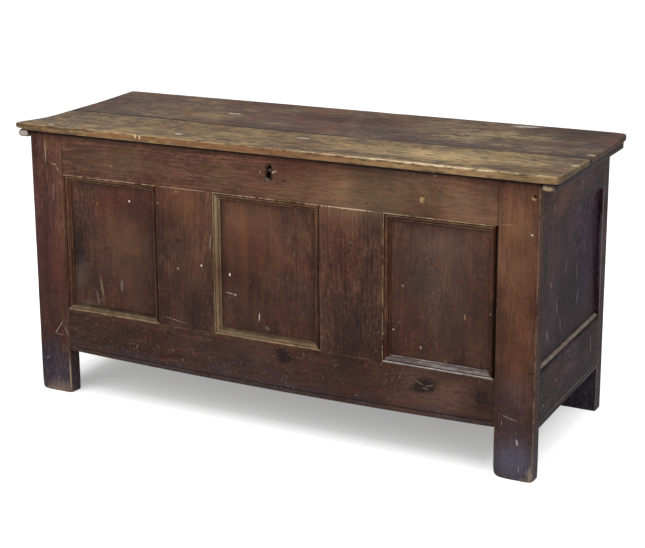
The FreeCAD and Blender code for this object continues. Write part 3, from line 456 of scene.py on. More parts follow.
def dashes(tree, place, facing, turn, long, wide, share):
    """Short marks of one direction, length and width in millimetres, with a share of them left in."""
    turned = add(tree, "Mapping", {"Vector": place, "Rotation": about(facing, turn)})
    reach = [1000 / wide] * 3
    reach[0 if facing else 1] = 1000 / long
    cells = add(tree, "TexVoronoi", {
        "Vector": add(tree, "VectorMath", {0: turned, 1: reach}, operation="MULTIPLY"), "Scale": 1.0}).node
    chance = add(tree, "SeparateColor", {0: cells.outputs["Color"]})
    kept = add(tree, "MapRange", {"Value": chance, "From Min": 1.0 - share, "From Max": 1.02 - share})
    return add(tree, "MapRange", {"Value": cells.outputs["Distance"], "From Min": 0.24, "From Max": 0.08,
                                  "To Max": kept})


def oak_patterns(tree, look, grain, place):
    """The figure of the oak, by name, each pattern as long and as wide as the real one where that shows."""
    # The grain bows over 300 mm along the board and 60 mm across it, as a real trunk's does.
    bow = add(tree, "TexNoise", {
        "Vector": add(tree, "VectorMath", {0: grain, 1: (3.2, 15, 15)}, operation="MULTIPLY"),
        "Scale": 1.0}, "Color")
    centred = add(tree, "VectorMath", {0: bow, 1: (0.5, 0.5, 0.5)}, operation="SUBTRACT")
    bowed = add(tree, "VectorMath", {0: centred, 1: (0.0, 0.020, 0.020), 2: grain}, operation="MULTIPLY_ADD")
    # Where each pattern lies, then its length along the grain and its width across it in millimetres, detail
    # and roughness. The vessels are really 0.3 mm wide, and are drawn as wide as "hair" so that they show.
    sizes = {
        "fibre": (bowed, 85, 6 * look.wide, 6.0, 0.68),
        "band": (bowed, 620, 28 * look.wide, 3.0, 0.55),
        "mottle": (bowed, 16 * look.wide, 8 * look.wide, 4.0, 0.74),
        "hair": (bowed, 30 + 90 / look.hair, look.hair, 2.0, 0.6),
        "pores": (grain, 26, 1.2 * look.hair, 2.0, 0.6),
        "blotch": (grain, 90, 50, 5.0, 0.6),
        "broken": (place, 17, 17, 3.0, 0.6),
        "patchiness": (place, 22, 22, 3.0, 0.6),
        "dusted": (place, 110, 110, 2.0, 0.5),
        "specks": (place, 6, 6, 3.0, 0.75),
    }
    patterns = {}
    for name, (vector, long, wide, detail, roughness) in sizes.items():
        reach = (1000 / long, 1000 / wide, 1000 / wide)
        patterns[name] = add(tree, "TexNoise", {
            "Vector": add(tree, "VectorMath", {0: vector, 1: reach}, operation="MULTIPLY"), "Scale": 1.0,
            "Detail": detail, "Roughness": roughness})
    # Year rings: real ones are 2 to 3 mm wide, drawn wider so that they show. One is 314 mm over the scale.
    patterns["rings"] = add(tree, "TexWave", {
        "Vector": add(tree, "VectorMath", {0: bowed, 1: (0.05, 1, 1)}, operation="MULTIPLY"),
        "Scale": 314.0 / look.ring, "Distortion": 5.0, "Detail": 3.0, "Detail Scale": 1.4,
        "Detail Roughness": 0.55}, "Fac", wave_type="RINGS", rings_direction="X")
    # Rays cut along their length show as pale ribbons, 6 mm by 40 mm, that climb across the grain.
    patterns["rays"] = add(tree, "TexNoise", {
        "Vector": add(tree, "VectorMath", {0: bowed, 1: (170, 26, 26)}, operation="MULTIPLY"), "Scale": 1.0,
        "Detail": 3.0, "Roughness": 0.62})
    # The polish has clouded over the years, in clouds of about 200 mm.
    clouds = add(tree, "SeparateColor", {0: add(tree, "TexNoise", {
        "Vector": place, "Scale": 5.0, "Detail": 4.0, "Roughness": 0.58}, "Color")}).node
    patterns.update(zip(("reddened", "blackened", "cleaned"), clouds.outputs))
    return patterns


def wood_colour(tree, look, patterns):
    """The bare wood: from its deep colour over the body to the bright one, as the figure runs."""
    figure = 0.0
    shares = {"blotch": 0.28, "band": 0.16, "fibre": 0.24 - look.rings, "rings": look.rings, "mottle": 0.32}
    for pattern, share in shares.items():
        figure = add(tree, "Math", {0: patterns[pattern], 1: share, 2: figure}, operation="MULTIPLY_ADD")
    surface = add(tree, "ValToRGB", {"Fac": figure})
    ramp = surface.node.color_ramp
    spread = 0.095 / look.contrast
    ramp.elements[0].position = 0.5 - spread
    ramp.elements[0].color = opaque(look.deep)
    ramp.elements[1].position = 0.5 + spread
    ramp.elements[1].color = opaque(look.bright)
    ramp.elements.new(0.5).color = opaque(look.body)
    return surface


def polished(tree, look, patterns, surface):
    """The wood under its rays, fibres and open pores, and under a polish that has reddened and blackened."""
    dirt_and_shade = bpy.context.scene.oak_chest_colours.dirt_and_shade
    # Each layer: the pattern, where it starts and where it is full, how much, and what.
    layers = (("rays", 0.53, 0.66, look.flake, look.bright),
              ("hair", 0.50, 0.36, look.hairs, look.deep),
              ("hair", 0.52, 0.68, 0.7 * look.hairs, look.bright),
              ("pores", 0.45, 0.30, look.pores, look.deep),
              ("reddened", 0.48, 0.64, look.tone, linear(look.stain)),
              ("blackened", 0.52, 0.66, look.tone, dirt_and_shade),
              ("cleaned", 0.52, 0.66, 0.5 * look.tone, look.bright))
    for pattern, start, full, strength, tint in layers:
        if strength:
            mask = add(tree, "MapRange", {"Value": patterns[pattern], "From Min": start, "From Max": full,
                                          "To Max": strength})
            surface = add(tree, "Mix", {"Factor": mask, 6: surface, 7: opaque(tint)}, 2, data_type="RGBA")
    return surface


def smoke_shade_and_damp(tree, look, patterns, surface, height):
    """Smoke and painted shade darken the chest downwards. Damp has turned the lowest 120 mm black, with a
    grey bloom.
    """
    colours = bpy.context.scene.oak_chest_colours
    damp = add(tree, "Math", {0: patterns["blotch"], 1: 0.16, 2: height}, operation="MULTIPLY_ADD")
    smoked_and_shaded = add(tree, "MapRange", {"Value": damp, "From Min": 0.68, "From Max": 0.24, "To Max": look.smoke_and_shade})
    surface = add(tree, "Mix", {"Factor": smoked_and_shaded, 6: surface, 7: opaque(colours.dirt_and_shade)}, 2, data_type="RGBA")
    bloom = add(tree, "MapRange", {"Value": patterns["mottle"], "From Min": 0.30, "From Max": 0.70})
    greyed = add(tree, "Mix", {"Factor": bloom, 6: opaque(colours.foot), 7: opaque(colours.foot_bloom)}, 2,
                 data_type="RGBA")
    soaked = add(tree, "MapRange", {"Value": damp, "From Min": 0.225, "From Max": 0.140, "To Max": 0.85})
    return add(tree, "Mix", {"Factor": soaked, 6: surface, 7: greyed}, 2, data_type="RGBA")


def knocked_places(tree, look, patterns, place, dusted):
    """Scuffs: pale specks, dashes 1 mm by 10 mm that lean both ways, and dust in the pores."""
    lint = add(tree, "Math", {0: dashes(tree, place, look.facing, 62, 30, 5, 0.03),
                              1: dashes(tree, place, look.facing, -38, 42, 4.5, 0.02)}, operation="MAXIMUM")
    dust = add(tree, "MapRange", {"Value": patterns["specks"], "From Min": 0.60, "From Max": 0.74,
                                  "To Max": 0.75})
    knocks = add(tree, "Math", {0: lint, 1: dust}, operation="MAXIMUM")
    knocks = add(tree, "Math", {0: knocks, 1: dusted}, operation="MULTIPLY")
    specks = add(tree, "Math", {0: dashes(tree, place, look.facing, 0, 26, 26, 0.06), 1: 6.0},
                 operation="POWER")
    knocks = add(tree, "Math", {0: knocks, 1: specks}, operation="MAXIMUM")
    return add(tree, "Math", {0: knocks, 1: look.scuffs}, operation="MULTIPLY")


def wax_sheen(tree, look, patterns, knocks):
    """How rough the waxed wood is, and its relief. The pores and the knocks stay dull and low."""
    dull = add(tree, "Math", {0: patterns["fibre"], 1: 0.22, 2: 0.1}, operation="MULTIPLY_ADD")
    dull = add(tree, "Math", {0: patterns["reddened"], 1: 0.25, 2: dull}, operation="MULTIPLY_ADD")
    dull = add(tree, "Math", {0: knocks, 1: 0.2, 2: dull}, operation="MULTIPLY_ADD")
    roughness = add(tree, "MapRange", {"Value": dull, "From Min": 0.2, "From Max": 0.6,
                                       "To Min": 0.60 - 0.25 * look.gloss,
                                       "To Max": 0.85 - 0.2 * look.gloss})
    relief = add(tree, "Math", {0: patterns["mottle"], 1: 0.9, 2: patterns["fibre"]},
                 operation="MULTIPLY_ADD")
    relief = add(tree, "Math", {0: patterns["hair"], 1: 0.8, 2: relief}, operation="MULTIPLY_ADD")
    relief = add(tree, "Math", {0: relief, 1: knocks}, operation="SUBTRACT")
    bump = add(tree, "Bump", {"Strength": 0.5, "Distance": 0.0006 * look.relief, "Height": relief})
    return roughness, bump


def oak_timber(name, look):
    """Riven oak, planed by hand and waxed for centuries: open pores and year rings drawn out along the grain,
    a polish that has gone red-black in clouds, bare rubbed edges, and short pale scuffs from moving it."""
    colours = bpy.context.scene.oak_chest_colours
    material = blank(name)
    tree = material.node_tree
    grain = add(tree, "Attribute", (), "Vector", attribute_name="grain")
    arris = add(tree, "Attribute", (), "Fac", attribute_name="arris")
    grime_and_shade = add(tree, "Attribute", (), "Fac", attribute_name="grime_and_shade")
    place = add(tree, "TexCoord", (), "Object")
    patterns = oak_patterns(tree, look, grain, place)
    ragged = add(tree, "Math", {0: patterns["mottle"], 1: patterns["fibre"]}, operation="ADD")
    ragged = add(tree, "Math", {0: ragged, 1: look.ragged, 2: -look.ragged}, operation="MULTIPLY_ADD")

    # Broad tints lie in the wood, under its rays, pores and polish.
    tints = [patch for patch in look.patches if patch[2] > MARK_SOFTNESS]
    surface = laid_patches(tree, wood_colour(tree, look, patterns), place, ragged, tints, look.facing)
    surface = polished(tree, look, patterns, surface)

    # Dust lies thickest in patches and near the floor.
    dusted = add(tree, "MapRange", {"Value": patterns["dusted"], "From Min": 0.42, "From Max": 0.66,
                                    "To Min": 0.1})
    if look.footed:
        height = add(tree, "SeparateXYZ", {0: place}, "Z")
        surface = smoke_shade_and_damp(tree, look, patterns, surface, height)
        low = add(tree, "MapRange", {"Value": height, "From Min": 0.35, "From Max": 0.10, "To Max": 0.45})
        dusted = add(tree, "Math", {0: dusted, 1: low}, operation="ADD")

    # Small stains and scratches lie on top of the polish, the smoke and painted shade, and the damp.
    marks = [patch for patch in look.patches if patch[2] <= MARK_SOFTNESS]
    surface = laid_patches(tree, surface, place, ragged, marks, look.facing)

    # Bare oak shows where the edges are rubbed, in broken lengths.
    broken = add(tree, "MapRange", {"Value": patterns["broken"], "From Min": 0.36, "From Max": 0.64,
                                    "To Min": look.steady, "To Max": look.worn})
    rubbed = add(tree, "MapRange", {"Value": arris, "From Min": 0.2, "From Max": 0.95, "To Max": broken})
    surface = add(tree, "Mix", {"Factor": rubbed, 6: surface, 7: opaque(look.bare or colours.worn)}, 2,
                  data_type="RGBA")

    knocks = knocked_places(tree, look, patterns, place, dusted)
    surface = add(tree, "Mix", {"Factor": knocks, 6: surface, 7: opaque(colours.scuff)}, 2, data_type="RGBA")

    # Soot packed into the joints, and painted shade under the lid, beside the mouldings and in the quirks,
    # gaps and keyhole, broken up here and there.
    patchiness = add(tree, "MapRange", {"Value": patterns["patchiness"], "From Min": 0.25, "From Max": 0.6,
                                   "To Min": 0.65})
    dirty = add(tree, "Math", {0: grime_and_shade, 1: patchiness}, operation="MULTIPLY")
    surface = add(tree, "Mix", {"Factor": dirty, 6: surface, 7: opaque(colours.soot_and_shade)}, 2, data_type="RGBA")

    roughness, bump = wax_sheen(tree, look, patterns, knocks)
    shader = add(tree, "BsdfPrincipled", {
        "Base Color": surface, "Roughness": roughness, "Normal": bump, "IOR": 1.5,
        "Specular IOR Level": look.sheen, "Coat Weight": 0.3 * look.sheen, "Coat Roughness": 0.30,
        "Coat IOR": 1.44})
    add(tree, "OutputMaterial", {"Surface": shader})
    return material


def forged_iron(name, rusty, bare):
    """Wrought iron, hammered flat at the forge: dull black oxide with a broken glint from the hammer marks,
    and rust that spreads in blooms."""
    colours = bpy.context.scene.oak_chest_colours
    material = blank(name)
    tree = material.node_tree
    place = add(tree, "TexCoord", (), "Object")
    # Hammer faces leave dents about 12 mm across. Rust pits are about 2 mm.
    dents = add(tree, "TexVoronoi", {"Vector": place, "Scale": 85.0}, "Distance", feature="SMOOTH_F1")
    pits = add(tree, "TexNoise", {"Vector": place, "Scale": 480.0, "Detail": 4.0})
    bloom = add(tree, "TexNoise", {"Vector": place, "Scale": 55.0, "Detail": 5.0, "Roughness": 0.65})
    rust = add(tree, "MapRange", {"Value": bloom, "From Min": 0.62 - 0.2 * rusty,
                                  "From Max": 0.72 - 0.1 * rusty})
    oxide = add(tree, "Mix", {"Factor": pits, 6: opaque(linear("#221f1e")), 7: opaque(bare or colours.iron)},
                2, data_type="RGBA")
    surface = add(tree, "Mix", {"Factor": rust, 6: oxide, 7: opaque(colours.rust)}, 2, data_type="RGBA")
    metal = add(tree, "MapRange", {"Value": rust, "To Min": 0.85, "To Max": 0.1})
    roughness = add(tree, "MapRange", {"Value": bloom, "From Min": 0.3, "From Max": 0.7, "To Min": 0.42,
                                       "To Max": 0.85})
    height = add(tree, "Math", {0: pits, 1: 0.25, 2: dents}, operation="MULTIPLY_ADD")
    bump = add(tree, "Bump", {"Strength": 0.7, "Distance": 0.0006, "Height": height})
    shader = add(tree, "BsdfPrincipled", {"Base Color": surface, "Metallic": metal, "Roughness": roughness,
                                          "Normal": bump})
    add(tree, "OutputMaterial", {"Surface": shader})
    return material


def background_seen(tree):
    """1 for rays on which the white background shows: straight to the camera, mirrored, or through glass."""
    ray = add(tree, "LightPath").node
    mirrored = add(tree, "Math", {0: ray.outputs["Is Glossy Ray"], 1: ray.outputs["Is Transmission Ray"]},
                   operation="MAXIMUM")
    return add(tree, "Math", {0: ray.outputs["Is Camera Ray"], 1: mirrored}, operation="MAXIMUM")


def paper_floor(name):
    """Matt white studio paper: it takes the soft shadow of the chest, and reads as white elsewhere."""
    material = blank(name)
    tree = material.node_tree
    place = add(tree, "TexCoord", (), "Object")
    tooth = add(tree, "TexNoise", {"Vector": place, "Scale": 900.0, "Detail": 2.0})
    bump = add(tree, "Bump", {"Strength": 0.05, "Distance": 0.0002, "Height": tooth})
    # The lamps fade with distance, so the paper is lifted to white away from the chest. The shadow is kept in
    # a block of paper with this middle and these half sizes.
    shadow_middle, shadow_half = (-0.05, 0.025, 0.0), (0.55, 0.195, 0.0)
    under = add(tree, "VectorMath", {0: place, 1: shadow_middle}, operation="SUBTRACT")
    outside = add(tree, "VectorMath", {0: add(tree, "VectorMath", {0: under}, operation="ABSOLUTE"),
                                       1: shadow_half}, operation="SUBTRACT")
    beyond = add(tree, "VectorMath", {0: outside, 1: (0, 0, 0)}, operation="MAXIMUM")
    away = add(tree, "VectorMath", {0: beyond}, "Value", operation="LENGTH")
    lift = add(tree, "MapRange", {"Value": away, "From Min": -0.03, "From Max": 0.195, "To Min": 0.30,
                                  "To Max": 0.90}, interpolation_type="SMOOTHSTEP")
    seen = add(tree, "Math", {0: lift, 1: background_seen(tree)}, operation="MULTIPLY")
    paper = add(tree, "BsdfPrincipled", {
        "Base Color": opaque(linear("#cfcfcf")), "Roughness": 0.9, "Normal": bump, "Specular IOR Level": 0.1,
        "Emission Color": (1, 1, 1, 1), "Emission Strength": seen})
    add(tree, "OutputMaterial", {"Surface": paper})
    return material


# Patches: colour, strength, softness of the edge, centre, reach and turn, in millimetres and degrees. Those
# with a softer edge than this one are tints in the wood, and the others are marks on top of it.
MARK_SOFTNESS = 0.75

FRONT_Y = -250.0
FRONT_PATCHES = (
    ("#94795a", 0.46, 0.9, (300, FRONT_Y, 600), (420, 30, 90), 0),
    ("#6a524f", 0.40, 0.9, (-20, FRONT_Y, 165), (380, 30, 60), 0),
    ("#2a1412", 0.60, 0.9, (-430, FRONT_Y, 170), (200, 30, 70), 0),
    ("#34201c", 0.50, 0.9, (-216, FRONT_Y, 265), (95, 30, 70), 0),
    ("#231819", 0.75, 0.9, (216, FRONT_Y, 280), (95, 30, 150), 0),
    ("#6d482f", 0.55, 0.9, (-216, FRONT_Y, 520), (90, 30, 80), 0),
    ("#9b7262", 0.55, 0.9, (410, FRONT_Y, 165), (170, 30, 70), 0),
    ("#1d1414", 0.90, 0.55, (46, FRONT_Y, 194), (30, 20, 24), 20),
    ("#1d1816", 0.92, 0.5, (396, FRONT_Y, 183), (46, 20, 23), -18),
    ("#8c7c6e", 0.45, 0.5, (384, FRONT_Y, 188), (13, 20, 1.7), 24),
    ("#8c7c6e", 0.40, 0.5, (409, FRONT_Y, 184), (14, 20, 1.7), -18),
    ("#8c7c6e", 0.35, 0.5, (399, FRONT_Y, 176), (9, 20, 1.5), 8),
    ("#1d1414", 0.75, 0.6, (528, FRONT_Y, 180), (26, 20, 26), 0),
    ("#231817", 0.70, 0.7, (-385, FRONT_Y, 190), (30, 20, 11), 0),
    ("#231817", 0.70, 0.7, (-262, FRONT_Y, 206), (24, 20, 9), 10),
    ("#2a1a14", 0.80, 0.6, (-233, FRONT_Y, 436), (9, 20, 9), 0),
    ("#2a201f", 0.60, 0.8, (282, FRONT_Y, 529), (30, 20, 38), 20),
    ("#b7a58d", 0.85, 0.5, (10, FRONT_Y, 609.5), (7, 10, 4), 0),
    ("#a08c74", 0.70, 0.4, (-9, FRONT_Y, 624), (2.2, 10, 2.2), 0),
    ("#c4b193", 0.80, 0.4, (216, FRONT_Y, 563), (80, 10, 1.6), 0),
    ("#a8937a", 0.60, 0.5, (-216, FRONT_Y, 563), (80, 10, 1.3), 0),
    ("#5c4a35", 0.50, 0.9, (-380, FRONT_Y, 610), (200, 30, 50), 0),
    ("#54452f", 0.40, 0.9, (-120, FRONT_Y, 600), (60, 30, 50), 0),
    ("#6c4a30", 0.40, 0.9, (-200, FRONT_Y, 380), (60, 30, 90), 0),
    ("#c6b59c", 0.90, 0.4, (23, FRONT_Y, 626), (3.2, 10, 2.6), 0),
    ("#c6b59c", 0.80, 0.4, (30, FRONT_Y, 629), (2.0, 10, 2.0), 0),
    ("#24160f", 0.80, 0.5, (51, FRONT_Y, 609), (4.5, 10, 4), 0),
    ("#9a8158", 0.90, 0.4, (387, FRONT_Y, 602), (7, 10, 7), 0),
    ("#4e3a26", 0.90, 0.5, (391, FRONT_Y, 601), (2.5, 10, 5), 20),
    ("#d9cfc2", 0.80, 0.5, (-170, FRONT_Y, 384), (2.6, 10, 3.2), 0),
    ("#a1907e", 0.32, 0.5, (-145, FRONT_Y, 442), (2.3, 10, 26), 6),
    ("#8a7869", 0.60, 0.5, (-248, FRONT_Y, 240), (42, 10, 1.2), 9),
)

STILE_PATCHES = (
    ("#805d42", 0.60, 0.9, (600, FRONT_Y, 520), (64, 30, 200), 0),
    ("#84563c", 0.55, 0.9, (605, FRONT_Y, 310), (60, 30, 160), 0),
    ("#80666a", 0.55, 0.9, (600, FRONT_Y, 170), (64, 30, 90), 0),
    ("#6e6a78", 0.14, 0.75, (605, FRONT_Y, 52), (60, 30, 90), 0),
    # Painted shade: the side face of the right front stile, made nearly black like the end beside it.
    ("#0e0b12", 0.95, 0.9, (650, -210, 380), (20, 46, 420), 0),
    ("#4a2c2f", 0.60, 0.9, (-610, FRONT_Y, 330), (60, 60, 400), 0),
    ("#4c3641", 0.60, 0.9, (-650, FRONT_Y, 330), (26, 60, 360), 0),
    ("#74433a", 0.45, 0.9, (-585, FRONT_Y, 340), (30, 30, 170), 0),
    ("#a8845e", 0.60, 0.5, (636, FRONT_Y, 631), (6.5, 10, 6.0), 0),
    ("#0d0809", 0.95, 0.3, (638, FRONT_Y, 635), (4.4, 10, 4.6), 0),
    ("#c0b3a4", 0.80, 0.5, (634, FRONT_Y, 553), (4.5, 10, 2.0), 20),
    ("#8f7761", 0.55, 0.6, (583, FRONT_Y, 569), (26, 10, 1.3), -3),
    ("#8f7a6b", 0.60, 0.5, (598, FRONT_Y, 141), (30, 10, 1.5), 16),
    ("#b4a69b", 0.75, 0.5, (614, FRONT_Y, 89), (3.0, 10, 8), -15),
    ("#a3958a", 0.55, 0.5, (619, FRONT_Y, 30), (1.3, 10, 13), 0),
    ("#a3958a", 0.55, 0.5, (578, FRONT_Y, 128), (1.2, 10, 9), 0),
    ("#1c1412", 0.80, 0.6, (639, FRONT_Y, 250), (8, 10, 2.5), 0),
    ("#a5907a", 0.70, 0.5, (-607, FRONT_Y, 618), (1.6, 10, 36), 1),
    ("#b09c80", 0.70, 0.4, (-584, FRONT_Y, 587), (10, 10, 1.4), 5),
    ("#b09c80", 0.60, 0.4, (-573, FRONT_Y, 576), (9, 10, 1.3), 50),
    ("#8d7a6c", 0.30, 0.6, (-588, FRONT_Y, 520), (3, 10, 32), 4),
    ("#221613", 0.75, 0.6, (-600, FRONT_Y, 262), (44, 10, 1.3), 0),
    ("#a39488", 0.52, 0.4, (-590, FRONT_Y, 172), (1.6, 10, 27), 35),
    ("#a39488", 0.46, 0.4, (-570, FRONT_Y, 165), (1.4, 10, 20), -30),
    ("#a39488", 0.40, 0.4, (-588, FRONT_Y, 152), (13, 10, 1.3), 6),
    ("#a79a90", 0.75, 0.4, (-629, FRONT_Y, 86), (7, 10, 1.8), -20),
    ("#241b30", 0.42, 0.75, (-630, FRONT_Y, 85), (34, 30, 66), 0),
    ("#9c8474", 0.32, 0.75, (-590, FRONT_Y, 6), (54, 30, 30), 0),
    ("#b39d84", 0.45, 0.6, (-563, FRONT_Y, 60), (2.6, 10, 60), 0),
    ("#84705a", 0.40, 0.7, (-606, FRONT_Y, 5), (46, 10, 8), 0),
    ("#84705a", 0.35, 0.7, (630, FRONT_Y, 5), (16, 10, 8), 0),
    ("#5d5c70", 0.24, 0.75, (606, FRONT_Y, 46), (54, 30, 56), 0),
    ("#a99684", 0.40, 0.7, (644, FRONT_Y, 14), (10, 14, 30), 0),
)

PANEL_Y = -237.8
PANEL_PATCHES = (
    ("#1b1315", 0.90, 0.9, (-534, PANEL_Y, 390), (58, 20, 170), 0),
    ("#70503a", 0.50, 0.9, (-375, PANEL_Y, 420), (80, 20, 140), 0),
    ("#e6ddd2", 0.90, 0.4, (-375, PANEL_Y, 514), (3.4, 10, 3.6), 0),
    ("#6f645c", 0.35, 0.9, (-530, PANEL_Y, 310), (30, 10, 60), 20),
    ("#9a8c7c", 0.32, 0.6, (-464, PANEL_Y, 288), (4, 10, 30), -8),
    ("#9a8c7c", 0.28, 0.6, (-478, PANEL_Y, 262), (3, 10, 22), -12),
    ("#8b8078", 0.30, 0.6, (-405, PANEL_Y, 300), (5, 10, 20), 0),
    ("#7c6950", 0.45, 0.8, (-500, PANEL_Y, 240), (44, 10, 14), 0),
    ("#704a2c", 0.75, 0.8, (-62, PANEL_Y, 420), (17, 20, 190), 0),
    ("#6d4c36", 0.45, 0.9, (-60, PANEL_Y, 500), (90, 20, 70), 0),
    ("#3a2b28", 0.50, 0.9, (75, PANEL_Y, 330), (55, 20, 130), 0),
    ("#ece4da", 0.85, 0.4, (-101, PANEL_Y, 368), (2.1, 10, 4.4), 0),
    ("#d2c8bb", 0.50, 0.4, (-102, PANEL_Y, 323), (12, 10, 1.3), 5),
    ("#d2c8bb", 0.45, 0.4, (-87, PANEL_Y, 321), (4, 10, 2.4), 0),
    ("#d2c8bb", 0.70, 0.4, (-24, PANEL_Y, 275), (1.5, 10, 11), 3),
    ("#7d6f66", 0.40, 0.6, (-4, PANEL_Y, 252), (8, 10, 5), 30),
    ("#574840", 0.50, 0.9, (425, PANEL_Y, 400), (125, 20, 180), 0),
    ("#6b5549", 0.40, 0.9, (425, PANEL_Y, 510), (110, 20, 60), 0),
    ("#33292a", 0.45, 0.9, (370, PANEL_Y, 400), (50, 20, 130), 0),
    ("#c6bbb0", 0.70, 0.4, (316, PANEL_Y, 297), (2.6, 10, 2.6), 0),
    ("#a89c91", 0.60, 0.4, (382, PANEL_Y, 265), (2.6, 10, 3.4), 0),
    ("#a0785a", 0.60, 0.5, (484, PANEL_Y, 349), (2.2, 10, 9), -5),
    ("#5e3a30", 0.35, 0.8, (500, PANEL_Y, 320), (30, 20, 60), 0),
)

LID_Z = 682.0
LID_PATCHES = (
    ("#8b7448", 0.40, 0.9, (-330, -170, LID_Z), (200, 45, 30), 0),
    ("#4c3a28", 0.65, 0.9, (-430, -120, LID_Z), (280, 90, 30), 0),
    ("#49382d", 0.55, 0.9, (-570, -130, LID_Z), (140, 130, 30), 0),
    ("#b89c70", 0.80, 0.9, (390, -150, LID_Z), (340, 66, 30), 0),
    ("#a07d4f", 0.45, 0.9, (130, -130, LID_Z), (120, 40, 30), 0),
    ("#3e302c", 0.75, 0.9, (-640, -60, LID_Z), (85, 300, 40), 0),
    ("#483a38", 0.65, 0.9, (664, -60, LID_Z), (42, 290, 40), 0),
    ("#3c2f31", 0.60, 0.9, (100, -30, LID_Z), (620, 26, 30), 0),
    ("#4a3a30", 0.55, 0.9, (-30, -205, LID_Z), (190, 30, 30), 0),
    ("#927043", 0.30, 0.9, (-50, -140, LID_Z), (220, 80, 30), 0),
    ("#40302a", 0.55, 0.9, (-400, -105, LID_Z), (90, 16, 30), 0),
    ("#ded6cb", 0.75, 0.5, (-254, -201, LID_Z), (11, 5, 10), 20),
    ("#ded6cb", 0.70, 0.5, (27, -102, LID_Z), (17, 7, 10), 10),
    ("#2c2220", 0.70, 0.5, (62, -142, LID_Z), (16, 11, 10), 0),
    ("#d0c7ba", 0.65, 0.5, (-594, -238, LID_Z), (8, 5, 10), 0),
    ("#2b211f", 0.80, 0.5, (560, -128, LID_Z), (140, 3.0, 10), 5),
    ("#cdbda3", 0.70, 0.5, (680, -118, LID_Z), (12, 10, 10), 30),
    ("#c9b28c", 0.55, 0.5, (100, -44, LID_Z), (560, 2.6, 10), 0),
    ("#82583a", 0.65, 0.6, (0, -260, 674), (760, 4, 9), 0),
    ("#ecd6b2", 0.90, 0.8, (380, -260, 682.5), (400, 6, 4), 0),
    ("#c19b6a", 0.55, 0.8, (-200, -260, 682), (420, 4, 3), 0),
    ("#a98c66", 0.25, 0.7, (430, -260, 673), (400, 6, 10), 0),
    ("#d9c3a0", 0.70, 0.6, (-338, -260, 679), (2.6, 6, 6), 0),
    ("#d9c3a0", 0.60, 0.6, (-325, -260, 677), (2.2, 6, 4), 0),
)

REAR_LID_PATCHES = (
    ("#8c7448", 0.70, 0.9, (-330, 45, LID_Z), (110, 36, 30), 0),
    ("#443630", 0.45, 0.9, (-230, 150, LID_Z), (420, 90, 30), 0),
    ("#553a1e", 0.55, 0.9, (-480, 110, LID_Z), (180, 130, 30), 0),
    ("#453531", 0.40, 0.9, (60, 120, LID_Z), (260, 90, 30), 0),
    ("#cbb799", 0.60, 0.5, (679, 6, LID_Z), (10, 10, 10), 30),
    ("#a48e68", 0.75, 0.9, (440, 130, LID_Z), (170, 55, 30), 0),
    ("#a48e68", 0.60, 0.9, (370, 60, LID_Z), (120, 36, 30), 0),
    ("#33272a", 0.65, 0.9, (-630, 100, LID_Z), (85, 300, 40), 0),
    ("#403438", 0.60, 0.9, (655, 100, LID_Z), (45, 290, 40), 0),
    ("#2e2528", 0.60, 0.9, (100, 0, LID_Z), (620, 34, 30), 0),
    ("#5a3121", 0.45, 0.9, (-60, 130, LID_Z), (330, 60, 30), 0),
    ("#61321f", 0.45, 0.9, (-319, 209, LID_Z), (120, 30, 30), 0),
    ("#352a2c", 0.50, 0.9, (-560, 150, LID_Z), (90, 90, 30), 0),
    ("#ded6cb", 0.75, 0.5, (-276, 93, LID_Z), (15, 4, 10), 5),
    ("#c4bcb4", 0.60, 0.6, (448, 224, LID_Z), (34, 9, 10), 8),
    ("#b7a58d", 0.60, 0.5, (530, 34, LID_Z), (165, 3.0, 10), 7),
    ("#2b211f", 0.75, 0.5, (530, 38, LID_Z), (165, 2.6, 10), 7),
    ("#7e3a22", 0.65, 0.6, (321, 127, LID_Z), (8, 6, 10), 0),
)

CLEAT_PATCHES = (
    ("#a39a90", 0.85, 0.6, (-668, -258, 656), (30, 9, 16), 0),
    ("#a38c6c", 0.85, 0.6, (664, -258, 654), (20, 8, 9), 0),
)

